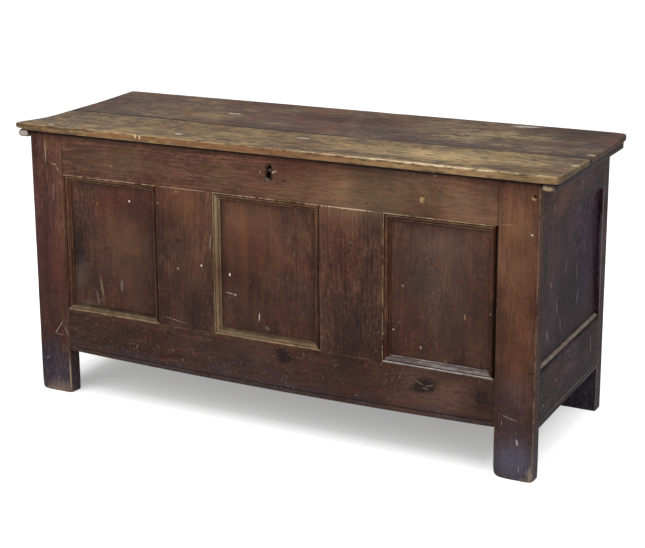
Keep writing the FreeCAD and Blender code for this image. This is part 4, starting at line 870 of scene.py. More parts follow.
END_PATCHES = (
    ("#564746", 0.45, 0.9, (650, -40, 560), (30, 150, 70), 0),
    ("#1d1719", 0.55, 0.9, (650, 90, 300), (30, 90, 90), 0),
    ("#8f857f", 0.36, 0.5, (638, -80, 350), (10, 4.0, 26), 12),
    ("#8f857f", 0.40, 0.5, (638, -50, 300), (10, 3.5, 24), 14),
    ("#9b918b", 0.40, 0.5, (650, 150, 190), (10, 3.5, 32), 10),
    ("#9b918b", 0.40, 0.5, (638, -75, 560), (10, 2.0, 9), 0),
    ("#17110f", 0.70, 0.6, (650, -65, 232), (10, 14, 9), 0),
    ("#8f857f", 0.55, 0.6, (650, 10, 128), (10, 240, 1.4), 0),
    ("#0d0a0a", 0.70, 0.6, (650, 10, 124), (10, 240, 1.8), 0),
    ("#866a69", 0.60, 0.9, (650, 0, 626), (30, 280, 56), 0),
    ("#100b13", 0.90, 0.9, (640, 0, 340), (30, 250, 140), 0),
    ("#2b2228", 0.60, 0.9, (640, 214, 400), (16, 14, 260), 0),
    ("#6a4336", 0.80, 0.9, (650, -90, 600), (30, 170, 70), 0),
    ("#4c3029", 0.50, 0.9, (650, -130, 200), (30, 110, 60), 0),
    ("#47302f", 0.45, 0.9, (640, -120, 470), (30, 90, 120), 0),
    ("#2a2340", 0.50, 0.9, (640, 110, 420), (30, 110, 170), 0),
    ("#a79d9b", 0.35, 0.5, (638, -124, 410), (10, 4.5, 15), 20),
    ("#a79d9b", 0.28, 0.5, (638, -20, 425), (10, 4.0, 17), -14),
    ("#a79d9b", 0.35, 0.5, (638, -140, 300), (10, 4.0, 20), 30),
    ("#a79d9b", 0.35, 0.5, (638, 70, 330), (10, 4.0, 22), -24),
    ("#a79d9b", 0.35, 0.5, (650, -150, 590), (10, 4.0, 14), 10),
    ("#a79d9b", 0.20, 0.5, (650, 40, 600), (10, 4.0, 18), -30),
    ("#a79d99", 0.60, 0.5, (650, 150, 117), (10, 90, 1.8), 0),
    ("#857880", 0.50, 0.5, (650, 213, 420), (10, 1.8, 190), 0),
    ("#8f857f", 0.40, 0.5, (638, 60, 395), (10, 3, 30), 0),
    ("#8f857f", 0.35, 0.5, (638, 110, 440), (10, 3, 26), 30),
)


def oak_looks(colours):
    """The oak surfaces of the chest, by material name."""
    front = (colours.front_deep, colours.front_body, colours.front_bright)
    panel = (colours.panel_deep, colours.panel_body, colours.panel_bright)
    lid = (colours.lid_deep, colours.lid_body, colours.lid_bright)
    rear_lid = (colours.rear_lid_deep, colours.rear_lid_body, colours.rear_lid_bright)
    side = (colours.side_deep, colours.side_body, colours.side_bright)
    raw = (linear("#3d2e24"), colours.back_body, linear("#77604a"))
    smoked_and_shaded = {"worn": 1.0, "tone": 0.45, "stain": "#1c0d12", "scuffs": 1.0, "smoke_and_shade": 0.2, "gloss": 0.4,
              "facing": 0, "patches": END_PATCHES, "contrast": 1.9, "hair": 3.0, "hairs": 0.7, "pores": 0.7,
              "sheen": 0.035, "steady": 0.55, "bare": linear("#a39588")}
    return {
        # Handled and waxed: warm brown with a soft shine, rays that catch the light, and bare edges.
        "oak_front_rails_waxed": Oak(*front, ring=9, rings=0.045, flake=0.12, worn=1.0, scuffs=0.7,
                                    hairs=0.38, pores=0.35, patches=FRONT_PATCHES),
        # The same wax, duller, and less rubbed.
        "oak_stiles_waxed": Oak(*front, ring=6, scuffs=0.6, smoke_and_shade=0.50, sheen=0.035, patches=STILE_PATCHES),
        # Hardly handled: darker, a little glossier, with crisp edges and pale rays across the grain.
        "oak_front_panels_waxed": Oak(*panel, ring=6, flake=0.3, worn=0.3, scuffs=0.55, smoke_and_shade=0.45,
                                      patches=PANEL_PATCHES, gloss=0.6),
        # Wax rubbed through to bare oak: golden, dull, with long open grain that stands up.
        "oak_lid_front_rubbed": Oak(*lid, ring=9, worn=0.9, stain="#3b2218", tone=0.3, scuffs=0.6, gloss=0.35,
                                    facing=2, footed=False, patches=LID_PATCHES, contrast=1.75, relief=1.6,
                                    hair=7.0, hairs=0.88, pores=0.9, wide=1.3, ragged=3.2),
        # Wax worn thin: the same open grain under what is left of a red-brown polish.
        "oak_lid_rear_waxed": Oak(*rear_lid, ring=9, worn=0.6, stain="#43201a", tone=0.6, gloss=0.35,
                                  facing=2, footed=False, patches=REAR_LID_PATCHES, contrast=1.65,
                                  relief=1.6, hair=7.0, hairs=0.9, pores=0.6, wide=1.3, ragged=3.2),
        # Smoke in dirty wax, and painted shade of the ends: nearly black, violet where light falls on it,
        # with pale scuffs and edges.
        "oak_ends_smoked_and_shaded": Oak(*side, ring=12, **smoked_and_shaded),
        # The same, on boards that show their year rings.
        "oak_end_panels_smoked_and_shaded": Oak(*side, ring=12, rings=0.13, **smoked_and_shaded),
        # Waxed mouldings: red-brown, with bare top edges.
        "oak_moulding_brown": Oak(linear("#371f17"), linear("#583829"), linear("#79563f"), ring=5, worn=1.2,
                                  scuffs=0.4, smoke_and_shade=0.4),
        # Mouldings rubbed bare: the colour of straw.
        "oak_moulding_pale": Oak(linear("#67533f"), linear("#7e684d"), linear("#958164"), ring=5, worn=0.9,
                                 tone=0.3, scuffs=0.6, smoke_and_shade=0.1, gloss=0.3),
        # A moulding rubbed bare and gone grey: pale grey with a faint shine.
        "oak_moulding_grey": Oak(linear("#352a28"), linear("#5b504d"), linear("#938a88"), ring=5, worn=0.9,
                                 tone=0.1, smoke_and_shade=0.0, gloss=0.6, steady=0.5, bare=linear("#c2bab4")),
        # Weathered and never waxed, and painted dark as shade under the lid: nearly black, rough and dull.
        "oak_cleats_weathered_and_shaded": Oak(linear("#1f191b"), linear("#322a2d"), linear("#4e4544"), ring=5, worn=0.5,
                                    tone=0.15, stain="#241a1a", scuffs=0.6, footed=False, gloss=0.15,
                                    relief=1.8, sheen=0.05, patches=CLEAT_PATCHES),
        # Never polished: brown, rough and dull.
        "oak_back_unpolished": Oak(*raw, ring=8, worn=0.25, tone=0.2, gloss=0.1, relief=1.7, smoke_and_shade=0.2),
        # Shut away from light and smoke: dry, pale brown, with no shine.
        "oak_inside_dry": Oak(*raw, ring=8, worn=0.2, tone=0.15, scuffs=0.4, gloss=0.05, footed=False,
                              relief=1.7),
        # The same, under the lid.
        "oak_lid_underside_dry": Oak(*raw, ring=8, worn=0.2, tone=0.2, scuffs=0.3, gloss=0.05, facing=2,
                                     footed=False, relief=1.7),
        # Riven pegs: rough end grain, about as dark as the frame.
        "oak_pegs_riven": Oak(linear("#33231b"), linear("#533c2d"), linear("#6f543d"), ring=2.5, worn=0.6,
                              scuffs=0.2, relief=1.5),
    }


def oak(name):
    """The named oak, made when it is first asked for."""
    made = bpy.data.materials.get(name)
    return made or oak_timber(name, oak_looks(bpy.context.scene.oak_chest_colours)[name])


def iron(name, rusty, bare):
    """The named iron, made when it is first asked for."""
    return bpy.data.materials.get(name) or forged_iron(name, rusty, bare)


# ---------------------------------------------------------------------------
# Pieces
# ---------------------------------------------------------------------------

def corners(node):
    """The lowest and highest corner of a plain node, as arrays."""
    low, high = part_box(node)
    return np.array(low), np.array(high)


def clipped(node, axis, low_at, high_at):
    """The corners of a node cut off at two places along one axis, where its tenons start."""
    low, high = corners(node)
    low[axis] = low_at
    high[axis] = high_at
    return low, high


def place_board(board, material, body, step=None):
    """Makes one board and puts it in place of its plain node."""
    return link_piece(board.node + "_oak", board.mesh(step), oak(material), body, [board.node])


def line_inside(piece, ways, material="oak_inside_dry"):
    """Gives the faces that look into the chest, one of the ways given, their own unpolished oak."""
    piece.data.materials.append(oak(material))
    # A face this far from the middle is hidden in the joints of a long wall or an end wall. One below the
    # floor boards is outside, and one at the rim shows above every joint.
    long_wall, end_wall, floor_top, rim = 0.228, 0.620, 0.130, CHEST_TOP - 6 * MM
    for face in piece.data.polygons:
        x, y, z = face.center
        in_wall = abs(y) > long_wall if abs(face.normal.x) > 0.7 else abs(x) > end_wall
        looks_in = any(face.normal.dot(Vector(way)) > 0.7 for way in ways)
        if looks_in and z > floor_top and (z > rim or not in_wall):
            face.material_index = 1


def corner_post(end, side, seed, material, knocks=()):
    """Makes a corner post, which runs down to the floor as a foot, with its inner faces left dry."""
    sizes = bpy.context.scene.oak_chest_sizes
    node = f"stile_{end}_{side}"
    low, high = corners(node)
    outward = -1 if side == "left" else 1
    into_chest = 1 if end == "front" else -1
    foot_height, floor_wear = 113 * MM, 55 * MM

    def worn_edges(points):
        outer = ((points[:, 0] - (low[0] + high[0]) / 2) * outward > 0).astype(float)
        open_foot = (points[:, 2] < foot_height).astype(float)
        edge = sizes.joint_edge + (sizes.frame_edge - sizes.joint_edge) * np.maximum(outer, open_foot)
        near_floor = np.clip(1.0 - (points[:, 2] - low[2]) / floor_wear, 0, 1) ** 2
        return edge + (sizes.foot_edge - sizes.frame_edge) * near_floor

    board = Board(node, low, high, 2, seed, sizes.frame_edge, pith=(30, 70), tilt=0.02)
    board.edges = [2.6 * MM, 2.6 * MM, 5.0 * MM]
    board.knocks = knocks
    board.open_edge = worn_edges
    line_inside(place_board(board, material, "chest"), [(0, into_chest, 0), (-outward, 0, 0)])


def wall_parts(end):
    """The frame pieces of a long wall: rails between the stiles and muntins between the rails."""
    left_post, right_post = corners(f"stile_{end}_left"), corners(f"stile_{end}_right")
    parts = {}
    for level in ("top", "bottom"):
        node = f"rail_{end}_{level}"
        parts[node] = clipped(node, 0, left_post[1][0], right_post[0][0])
    for side in ("left", "right"):
        node = f"muntin_{end}_{side}"
        parts[node] = clipped(node, 2, parts[f"rail_{end}_bottom"][1][2], parts[f"rail_{end}_top"][0][2])
    return parts


def keyhole_outline():
    """The keyhole in the top rail, worn wide at the foot, in metres."""
    ring = [(14.6, 641.5), (17.2, 642.5), (18.6, 639.0), (16.6, 634.0), (15.8, 628.5),
            (17.6, 624.0), (17.9, 618.0), (15.6, 612.6), (11.0, 610.2), (6.6, 612.4),
            (5.6, 617.4), (7.8, 622.0), (10.9, 627.0), (12.3, 633.0), (12.6, 638.0)]
    return [(x * MM, z * MM) for x, z in ring]


class OAK_CHEST_OT_front_frame(bpy.types.Operator):
    """Makes the front stiles, rails and muntins"""

    bl_idname = "oak_chest.front_frame"
    bl_label = "Front Frame"

    def execute(self, context):
        sizes = context.scene.oak_chest_sizes
        knocks = {"left": [((-560, -250, 0), 12, 4), ((-650, -250, 0), 12, 5)],
                  "right": [((560, -250, 0), 14, 9), ((650, -250, 0), 12, 5), ((560, -212, 0), 14, 6)]}
        for seed, side in enumerate(("left", "right"), start=1):
            corner_post("front", side, seed, "oak_stiles_waxed", knocks[side])
        parts = wall_parts("front")
        self.top_rail(parts["rail_front_top"], sizes)
        self.bottom_rail(parts["rail_front_bottom"], sizes)
        muntins = {"left": ((-60, 60), [(43, -17, 10)]), "right": ((130, 60), [])}
        for seed, (side, (pith, knots)) in enumerate(muntins.items(), start=6):
            node = f"muntin_front_{side}"
            board = Board(node, *parts[node], 2, seed, sizes.joint_edge, pith=pith, tilt=0.05, knots=knots)
            line_inside(place_board(board, "oak_front_rails_waxed", "chest"), [(0, 1, 0)])
        return {"FINISHED"}

    def top_rail(self, part, sizes):
        """The top rail with its keyhole and the recess for the lock."""
        board = Board("rail_front_top", *part, 0, 4, sizes.joint_edge, pith=(5, 20), tilt=0.06)
        board.edges = [2.0 * MM, 2.0 * MM, 2.0 * MM]
        case_low, case_high = corners("lock_case")
        room, past = 0.4 * MM, 5 * MM
        recess = block(case_low - room, [case_high[0] + room, part[1][1] + past, case_high[2] + room])
        keyhole = prism_y(keyhole_outline(), part[0][1] - past, part[1][1] + past)
        mesh = cut_away(board.mesh(), [recess, keyhole])
        points = np.array([vertex.co for vertex in mesh.vertices])
        board.store(mesh, points, points)
        # The edges are hardly rubbed, because the lid covers them. The wall of the keyhole is painted dark as
        # shade.
        set_layer(mesh, "arris", "FLOAT", 0.35 * edge_nearness(points, board.low, board.high, 2.0 * MM))
        middle, reach = np.array([12 * MM, 626 * MM]), np.array([10 * MM, 20 * MM])
        in_keyhole = np.linalg.norm((points[:, [0, 2]] - middle) / reach, axis=1) < 1.0
        set_layer(mesh, "grime_and_shade", "FLOAT", np.maximum(shoulder_dirt_and_lid_shadow(points, *part, 0), in_keyhole))
        rail = link_piece("rail_front_top_oak", mesh, oak("oak_front_rails_waxed"), "chest",
                          ["rail_front_top"])
        line_inside(rail, [(0, 1, 0)])

    def bottom_rail(self, part, sizes):
        """The bottom rail, bellied below, with a line scratched along it."""
        low, high = part
        board = Board("rail_front_bottom", low, high, 0, 5, sizes.joint_edge, pith=(-15, 85), tilt=0.03,
                      knots=[(46, 29, 17), (392, 19, 21), (528, 15, 18), (-385, 25, 10), (-262, 41, 8)])
        board.edges = [1.5 * MM, 1.5 * MM, 1.5 * MM]
        scratch = low[2] + 12.0 * MM
        board.extra[2] = [scratch + rise * MM for rise in (-1.6, -0.7, 0.0, 0.7, 1.6)]
        half = (high[0] - low[0]) / 2
        belly, scratch_reach, soot_reach = 8.0 * MM, 1.1 * MM, 1.6 * MM

        def belly_rise(points):
            return belly * (points[:, 0] / half) ** 2

        def shaped(points):
            moved = points.copy()
            moved[:, 2] += belly_rise(points) * (high[2] - points[:, 2]) / (high[2] - low[2])
            away = np.abs(points[:, 2] - scratch) / scratch_reach
            front = points[:, 1] < low[1] + 3 * MM
            moved[:, 1] += np.where(front, sizes.scratch_depth * np.clip(1 - away, 0, 1), 0)
            return moved

        def scratch_dirt(points):
            away = np.abs(points[:, 2] - belly_rise(points) - scratch) / soot_reach
            return np.maximum(np.clip(1.2 - away, 0, 0.9), shoulder_dirt_and_lid_shadow(points, low, high, 0))

        board.shape = shaped
        board.grime_and_shade = scratch_dirt
        line_inside(place_board(board, "oak_front_rails_waxed", "chest"), [(0, 1, 0)])


class OAK_CHEST_OT_front_panels(bpy.types.Operator):
    """Makes the three panels of the front"""

    bl_idname = "oak_chest.front_panels"
    bl_label = "Front Panels"

    def execute(self, context):
        sizes = context.scene.oak_chest_sizes
        piths = {"left": (140, 60), "centre": (-230, 25), "right": (150, 90)}
        for seed, (place, pith) in enumerate(piths.items(), start=11):
            node = f"panel_front_{place}"
            low, high = corners(node)
            board = Board(node, low, high, 2, seed, sizes.joint_edge, pith=pith, tilt=0.015)
            board.grime_and_shade = self.shade_beside_mouldings(low, high)
            piece = place_board(board, "oak_front_panels_waxed", "chest", 8 * MM)
            line_inside(piece, [(0, 1, 0)])
        return {"FINISHED"}

    @staticmethod
    def shade_beside_mouldings(low, high):
        """Painted shade in the recess beside the mouldings, most of it at the sides and the head of the
        panel.
        """
        # The groove and the moulding cover this much of the panel all round.
        covered = 24 * MM

        def shade_reaching(gap, reach, strength):
            return strength * np.exp(-np.maximum(gap - covered, 0) / reach)

        def dirt_and_shade(points):
            sides = shade_reaching(np.minimum(points[:, 0] - low[0], high[0] - points[:, 0]), 7 * MM, 0.55)
            head = shade_reaching(high[2] - points[:, 2], 9 * MM, 0.6)
            foot = shade_reaching(points[:, 2] - low[2], 6 * MM, 0.35)
            return np.maximum(np.maximum(sides, head), foot)
        return dirt_and_shade


MOULDING_WIDTH, MOULDING_HEIGHT = 16.0, 10.5


def moulding_profile():
    """The section of a moulding stick from the frame inwards: how far across, how high above the panel, how
    much dirt and painted shade it has, and how rubbed it is, the lengths in millimetres. The painted shade
    darkens its quirks. It has a flat, a quirk, a quarter round, a quirk and a fillet."""
    section = [(0.0, 9.6, 0.3, 0.2), (0.5, 10.5, 0.0, 1.0), (2.7, 10.5, 0.0, 1.0), (3.1, 9.8, 0.5, 0.3),
               (3.5, 7.2, 1.0, 0.0), (4.9, 7.0, 1.0, 0.0), (5.2, 8.6, 0.5, 0.0)]
    for step in range(7):
        turn = math.radians(90 - 90 * step / 6)
        rubbed = 0.3 if step < 2 else 0.05
        section.append((5.6 + 6.4 * math.cos(turn), 3.2 + 5.8 * math.sin(turn), 0.0, rubbed))
    section += [(12.2, 1.5, 0.9, 0.0), (13.3, 1.4, 0.9, 0.0), (13.7, 2.4, 0.2, 0.3), (15.5, 2.4, 0.1, 0.5),
                (16.0, 1.6, 0.3, 0.2)]
    return section + [(16.0, 0.0, 0.8, 0.0), (8.0, 0.0, 0.0, 0.0), (0.0, 0.0, 0.0, 0.0)]


def moulding_stick(node, side, seed, material, gap, rub, soil_and_shade, inward_shade):
    """A stick of moulding between two mitres. A gap is what it has shrunk away from the frame, rub says how
    much of the section's wear it has, soil_and_shade how much of its dirt and painted shade, and
    inward_shade is painted shade that deepens towards its inner edge."""
    low, high = corners(node)
    upright = side in ("left", "right")
    long_axis, across_axis = (2, 0) if upright else (0, 2)
    from_low = side in ("left", "bottom")
    section = np.array(moulding_profile())
    section[:, 0] = gap + section[:, 0] * (MOULDING_WIDTH - gap) / MOULDING_WIDTH
    if side == "right":
        # The gap beside the frame is painted dark, as painted shade.
        section[:2, 2:] = (1.0, 0.0)
    width, depth = high[across_axis] - low[across_axis], high[1] - low[1]
    count = max(2, round((high[long_axis] - low[long_axis]) / (9 * MM)))
    points, dirt_and_shade, arris = [], [], []
    for share in np.linspace(0, 1, count + 1):
        for across, height, soiled_and_shaded, rubbed in section:
            reach = across * width / MOULDING_WIDTH
            start, stop = low[long_axis] + reach, high[long_axis] - reach
            along = start + share * (stop - start)
            # The stick wavers in height, and has lost chips of 20 mm from its outer edge.
            wobble = noise.noise(Vector((along * 28, seed * 7.1, 0.3)))
            chip = min(1.0, max(0.0, noise.noise(Vector((along * 55, seed * 3.3, 9.0))) - 0.40) * 5)
            chipped = chip * (across < 4.0)
            loss = 0.03 + 0.03 * wobble + 0.2 * chipped if height > 1.6 else 0.0
            point = [0.0, high[1] - height * (1 - loss) * depth / MOULDING_HEIGHT, 0.0]
            point[long_axis] = along
            point[across_axis] = low[across_axis] + reach if from_low else high[across_axis] - reach
            points.append(point)
            # Dirt and painted shade: from the section's quirks, and deepening towards the panel.
            dirt_and_shade.append(max(soiled_and_shaded * soil_and_shade, inward_shade * across / MOULDING_WIDTH))
            arris.append(min(1.0, rub * rubbed + chipped))
    mesh = new_mesh(node + "_oak", points, tube_faces(0, count + 1, len(section)))
    face_outwards(mesh)
    set_layer(mesh, "grain", "FLOAT_VECTOR",
              grain_lines(np.array(points), (low + high) / 2, long_axis, seed, (40, 60), 0.02))
    set_layer(mesh, "arris", "FLOAT", arris)
    set_layer(mesh, "grime_and_shade", "FLOAT", dirt_and_shade)
    link_piece(node + "_oak", mesh, oak(material), "chest", [node])
    mesh.set_sharp_from_angle(angle=math.radians(30))


class OAK_CHEST_OT_mouldings(bpy.types.Operator):
    """Makes the mitred moulding round each front panel"""

    bl_idname = "oak_chest.mouldings"
    bl_label = "Mouldings"

    def execute(self, context):
        # For each side of a panel, the stick's gap, rub, and soil and painted shade, most on the top stick.
        sides = {"left": (0.0, 0.12, 0.5), "right": (3.0, 0.2, 0.6), "bottom": (0.0, 0.8, 0.6),
                 "top": (0.0, 1.0, 1.0)}
        # The sticks that have worn otherwise: their oak, rub, soil and painted shade, and painted shade
        # inward.
        odd = {("left", "bottom"): ("oak_moulding_pale", 0.8, 0.2, 1.0),
               ("centre", "left"): ("oak_moulding_pale", 0.12, 0.2, 0.1),
               ("centre", "bottom"): ("oak_moulding_pale", 0.8, 0.2, 0.7),
               ("right", "left"): ("oak_moulding_brown", 0.55, 0.5, 0.0),
               ("right", "bottom"): ("oak_moulding_grey", 0.8, 0.6, 0.1)}
        seed = 20
        for place in ("left", "centre", "right"):
            for side, (gap, rub, soil_and_shade) in sides.items():
                seed += 1
                finish = odd.get((place, side), ("oak_moulding_brown", rub, soil_and_shade, 0.0))
                material, *wear = finish
                moulding_stick(f"moulding_{place}_{side}", side, seed, material, gap, *wear)
        return {"FINISHED"}


SIDE_BEVEL = 9 * MM


class OAK_CHEST_OT_end_walls(bpy.types.Operator):
    """Makes the rails and the panel of both ends"""

    bl_idname = "oak_chest.end_walls"
    bl_label = "End Walls"

    def execute(self, context):
        sizes = context.scene.oak_chest_sizes
        for seed, side in enumerate(("left", "right"), start=40):
            front_post, rear_post = corners(f"stile_front_{side}"), corners(f"stile_rear_{side}")
            outward = -1 if side == "left" else 1
            for number, level in enumerate(("top", "bottom")):
                node = f"rail_side_{side}_{level}"
                part = clipped(node, 1, front_post[1][1], rear_post[0][1])
                board = Board(node, *part, 1, seed + 10 * number, sizes.joint_edge, pith=(20, 70), tilt=0.05)
                board.edges = [2.0 * MM, 1.5 * MM, 2.0 * MM]
                if level == "bottom":
                    board.shape = self.bevelled(*part, outward)
                piece = place_board(board, "oak_ends_smoked_and_shaded", "chest")
                line_inside(piece, [(-outward, 0, 0)])
                if level == "bottom":
                    self.pale_bevel(piece.data, *part, outward)
            node = f"panel_side_{side}"
            board = Board(node, *corners(node), 2, seed + 30, sizes.joint_edge, pith=(-70, 46), tilt=0.38)
            piece = place_board(board, "oak_end_panels_smoked_and_shaded", "chest")
            line_inside(piece, [(-outward, 0, 0)])
        return {"FINISHED"}

    @staticmethod
    def bevelled(low, high, outward):
        """The bevel along the top of the bottom rail, planed at 45 degrees."""
        face = high[0] if outward > 0 else low[0]

        def shaped(points):
            past = (points[:, 0] - face) * outward + SIDE_BEVEL + (points[:, 2] - high[2])
            past = np.clip(past, 0, None)
            moved = points.copy()
            moved[:, 0] -= outward * past / 2
            moved[:, 2] -= past / 2
            return moved
        return shaped

    @staticmethod
    def pale_bevel(mesh, low, high, outward):
        """The bevel is pale along its upper half: rubbed bare, and painted pale as the highlight it catches
        from above.
        """
        points = np.array([vertex.co for vertex in mesh.vertices])
        face = high[0] if outward > 0 else low[0]
        below = high[2] - points[:, 2]
        on_bevel = np.abs((face - points[:, 0]) * outward + below - SIDE_BEVEL) < 1.5 * MM
        layer = np.zeros(len(points), np.float32)
        mesh.attributes["arris"].data.foreach_get("value", layer)
        # It is pale down to 3.5 mm below the top. From 5.5 mm down it keeps six tenths of its own wear.
        bare = np.clip((5.5 * MM - below) / (2.0 * MM), 0, 1) * on_bevel
        set_layer(mesh, "arris", "FLOAT", np.maximum(0.6 * layer, bare))


class OAK_CHEST_OT_back_wall(bpy.types.Operator):
    """Makes the rear stiles, rails, muntins and panels"""

    bl_idname = "oak_chest.back_wall"
    bl_label = "Back Wall"

    def execute(self, context):
        sizes = context.scene.oak_chest_sizes
        for seed, side in enumerate(("left", "right"), start=60):
            corner_post("rear", side, seed, "oak_ends_smoked_and_shaded")
        for seed, (node, part) in enumerate(wall_parts("rear").items(), start=64):
            along = 0 if node.startswith("rail") else 2
            board = Board(node, *part, along, seed, sizes.joint_edge, pith=(30, 80), tilt=0.04)
            place_board(board, "oak_back_unpolished", "chest", 12 * MM)
        for seed, place in enumerate(("left", "centre", "right"), start=70):
            node = f"panel_rear_{place}"
            board = Board(node, *corners(node), 2, seed, sizes.joint_edge, pith=(25, 60), tilt=0.05)
            place_board(board, "oak_back_unpolished", "chest", 12 * MM)
        return {"FINISHED"}


class OAK_CHEST_OT_floor_boards(bpy.types.Operator):
    """Makes the floor boards and the ledgers they lie on"""

    bl_idname = "oak_chest.floor_boards"
    bl_label = "Floor Boards"

    def execute(self, context):
        sizes = context.scene.oak_chest_sizes
        nodes = [(f"floor_board_{number}", 1) for number in range(1, 5)]
        nodes += [("ledger_front", 0), ("ledger_rear", 0)]
        for seed, (node, along) in enumerate(nodes, start=80):
            board = Board(node, *corners(node), along, seed, sizes.joint_edge, pith=(15, 60), tilt=0.04)
            board.hollow = 0.1 * MM
            place_board(board, "oak_inside_dry", "chest", 14 * MM)
        return {"FINISHED"}


class OAK_CHEST_OT_lid(bpy.types.Operator):
    """Makes the two boards of the lid"""

    bl_idname = "oak_chest.lid"
    bl_label = "Lid"

    def execute(self, context):
        front, rear = corners("lid_board_front"), corners("lid_board_rear")
        lid = (front[0], rear[1])
        joint = (front[1][1] + rear[0][1]) / 2
        front_knocks = [((-689, -259.6, 675), 22, 6), ((689, -259.6, 675), 16, 4),
                        ((-337, -259.6, 684), 9, 3.4), ((-322, -259.6, 683), 6, 2.6),
                        ((185, -259.6, 684), 10, 2.6), ((420, -259.6, 684), 12, 1.6),
                        ((-120, -259.6, 684), 14, 1.5), ((688, -130, 684), 9, 4.5)]
        rear_knocks = [((689, 248, 676), 18, 5.5), ((-689, 248, 676), 14, 4), ((689, 12, 684), 9, 5),
                       ((100, 248, 684), 22, 2.0)]
        self.board("lid_board_front", lid, joint, 90, (35, -95), front_knocks, "oak_lid_front_rubbed")
        self.board("lid_board_rear", lid, joint, 91, (-70, -80), rear_knocks, "oak_lid_rear_waxed")
        return {"FINISHED"}

    @staticmethod
    def board(node, lid, joint, seed, pith, knocks, material):
        """One board, hollow on top, with its outer edge worn and its joint edge wandering as it was split."""
        sizes = bpy.context.scene.oak_chest_sizes
        low, high = corners(node)
        board = Board(node, low, high, 0, seed, sizes.lid_edge, pith=pith, tilt=0.012)
        board.edges = [3.5 * MM, 3.0 * MM, 2.6 * MM]
        board.knocks = knocks

        def worn_edges(points):
            at_joint = np.abs(points[:, 1] - joint) < 9 * MM
            outer = np.abs(points[:, 0]) < lid[1][0] - 12 * MM
            return np.where(at_joint & outer, sizes.lid_joint_edge, sizes.lid_edge)

        def wander(points):
            waves = 0.9 * np.sin(points[:, 0] * 3.1 - 1.9) + 0.25 * np.sin(points[:, 0] * 9.7 + 0.6)
            return sizes.lid_joint_wander * waves

        def shaped(points):
            moved = points.copy()
            middle = (lid[0][1] + lid[1][1]) / 2
            half = (lid[1][1] - lid[0][1]) / 2
            dish = 1 - ((points[:, 1] - middle) / half) ** 2
            along = points[:, 0] / lid[1][0]
            # The middle has sunk, a little more towards the left end, and the boards have long waves in them.
            sunk = sizes.lid_hollow * dish * (1.0 + 0.25 * np.clip(-along - 0.5, 0, 1))
            sunk += 0.5 * MM * (1 + np.sin(points[:, 0] * 7.3 + 1.1)) * dish
            # The last of the left end has a dip of its own, 130 mm in front of the middle.
            sunk += 3.0 * MM * np.exp(-((points[:, 1] + 0.13) / 0.08) ** 2) * np.clip(-4 * along - 3, 0, 1)
            share = (points[:, 2] - low[2]) / (high[2] - low[2])
            moved[:, 2] -= share * sunk
            # The underside is pared away at the front left corner.
            corner = np.clip(1 - (points[:, 0] - lid[0][0]) / (75 * MM), 0, 1) ** 2
            corner = corner * np.clip(1 - (points[:, 1] - lid[0][1]) / (120 * MM), 0, 1)
            moved[:, 2] += (1 - share) * 4.5 * MM * corner
            # The joint wanders, and carries the board with it for 120 mm on either side.
            near = np.clip(1 - np.abs(points[:, 1] - joint) / (120 * MM), 0, 1)
            moved[:, 1] += wander(points) * near * near * (3 - 2 * near)
            return moved

        def joint_dirt(points):
            away = np.abs(points[:, 1] - joint - wander(points))
            cleaned = 0.55 * np.exp(-((points[:, 0] - 0.34) / 0.24) ** 2)
            return np.clip(1.3 - away / (6.5 * MM), 0.0, 1.0) * (1.0 - cleaned)

        board.open_edge = worn_edges
        board.shape = shaped
        board.grime_and_shade = joint_dirt
        piece = place_board(board, material, "lid", 8 * MM)
        line_inside(piece, [(0, 0, -1)], "oak_lid_underside_dry")


class OAK_CHEST_OT_cleats(bpy.types.Operator):
    """Makes the battens under the ends of the lid"""

    bl_idname = "oak_chest.cleats"
    bl_label = "Cleats"

    def execute(self, context):
        sizes = context.scene.oak_chest_sizes
        for seed, side in enumerate(("left", "right"), start=95):
            node = f"cleat_{side}"
            outward = -1 if side == "left" else 1
            board = Board(node, *corners(node), 1, seed, sizes.cleat_edge, pith=(8, 30), tilt=0.03)
            board.edges = [2.6 * MM, 4.0 * MM, 2.6 * MM]
            board.knocks = [((outward * 684, -256.6, 650), 22, 7.0), ((outward * 652, -256.6, 650), 22, 7.0)]
            board.grime_and_shade = self.no_dirt
            place_board(board, "oak_cleats_weathered_and_shaded", "lid", 8 * MM)
        return {"FINISHED"}

    @staticmethod
    def no_dirt(points):
        """The cleats hang clear of the chest, so nothing has packed against them."""
        return np.zeros(len(points))


def separate_solids(node):
    """The lowest and highest corners of each solid in a plain node that holds several."""
    shell = bmesh.new()
    shell.from_mesh(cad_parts[node].data)
    bmesh.ops.remove_doubles(shell, verts=shell.verts, dist=1e-6)
    seen, found = set(), []
    for start in shell.verts:
        if start in seen:
            continue
        stack, island = [start], []
        seen.add(start)
        while stack:
            vertex = stack.pop()
            island.append(vertex.co[:])
            for edge in vertex.link_edges:
                other = edge.other_vert(vertex)
                if other not in seen:
                    seen.add(other)
                    stack.append(other)
        island = np.array(island)
        found.append((island.min(axis=0), island.max(axis=0)))
    shell.free()
    return found


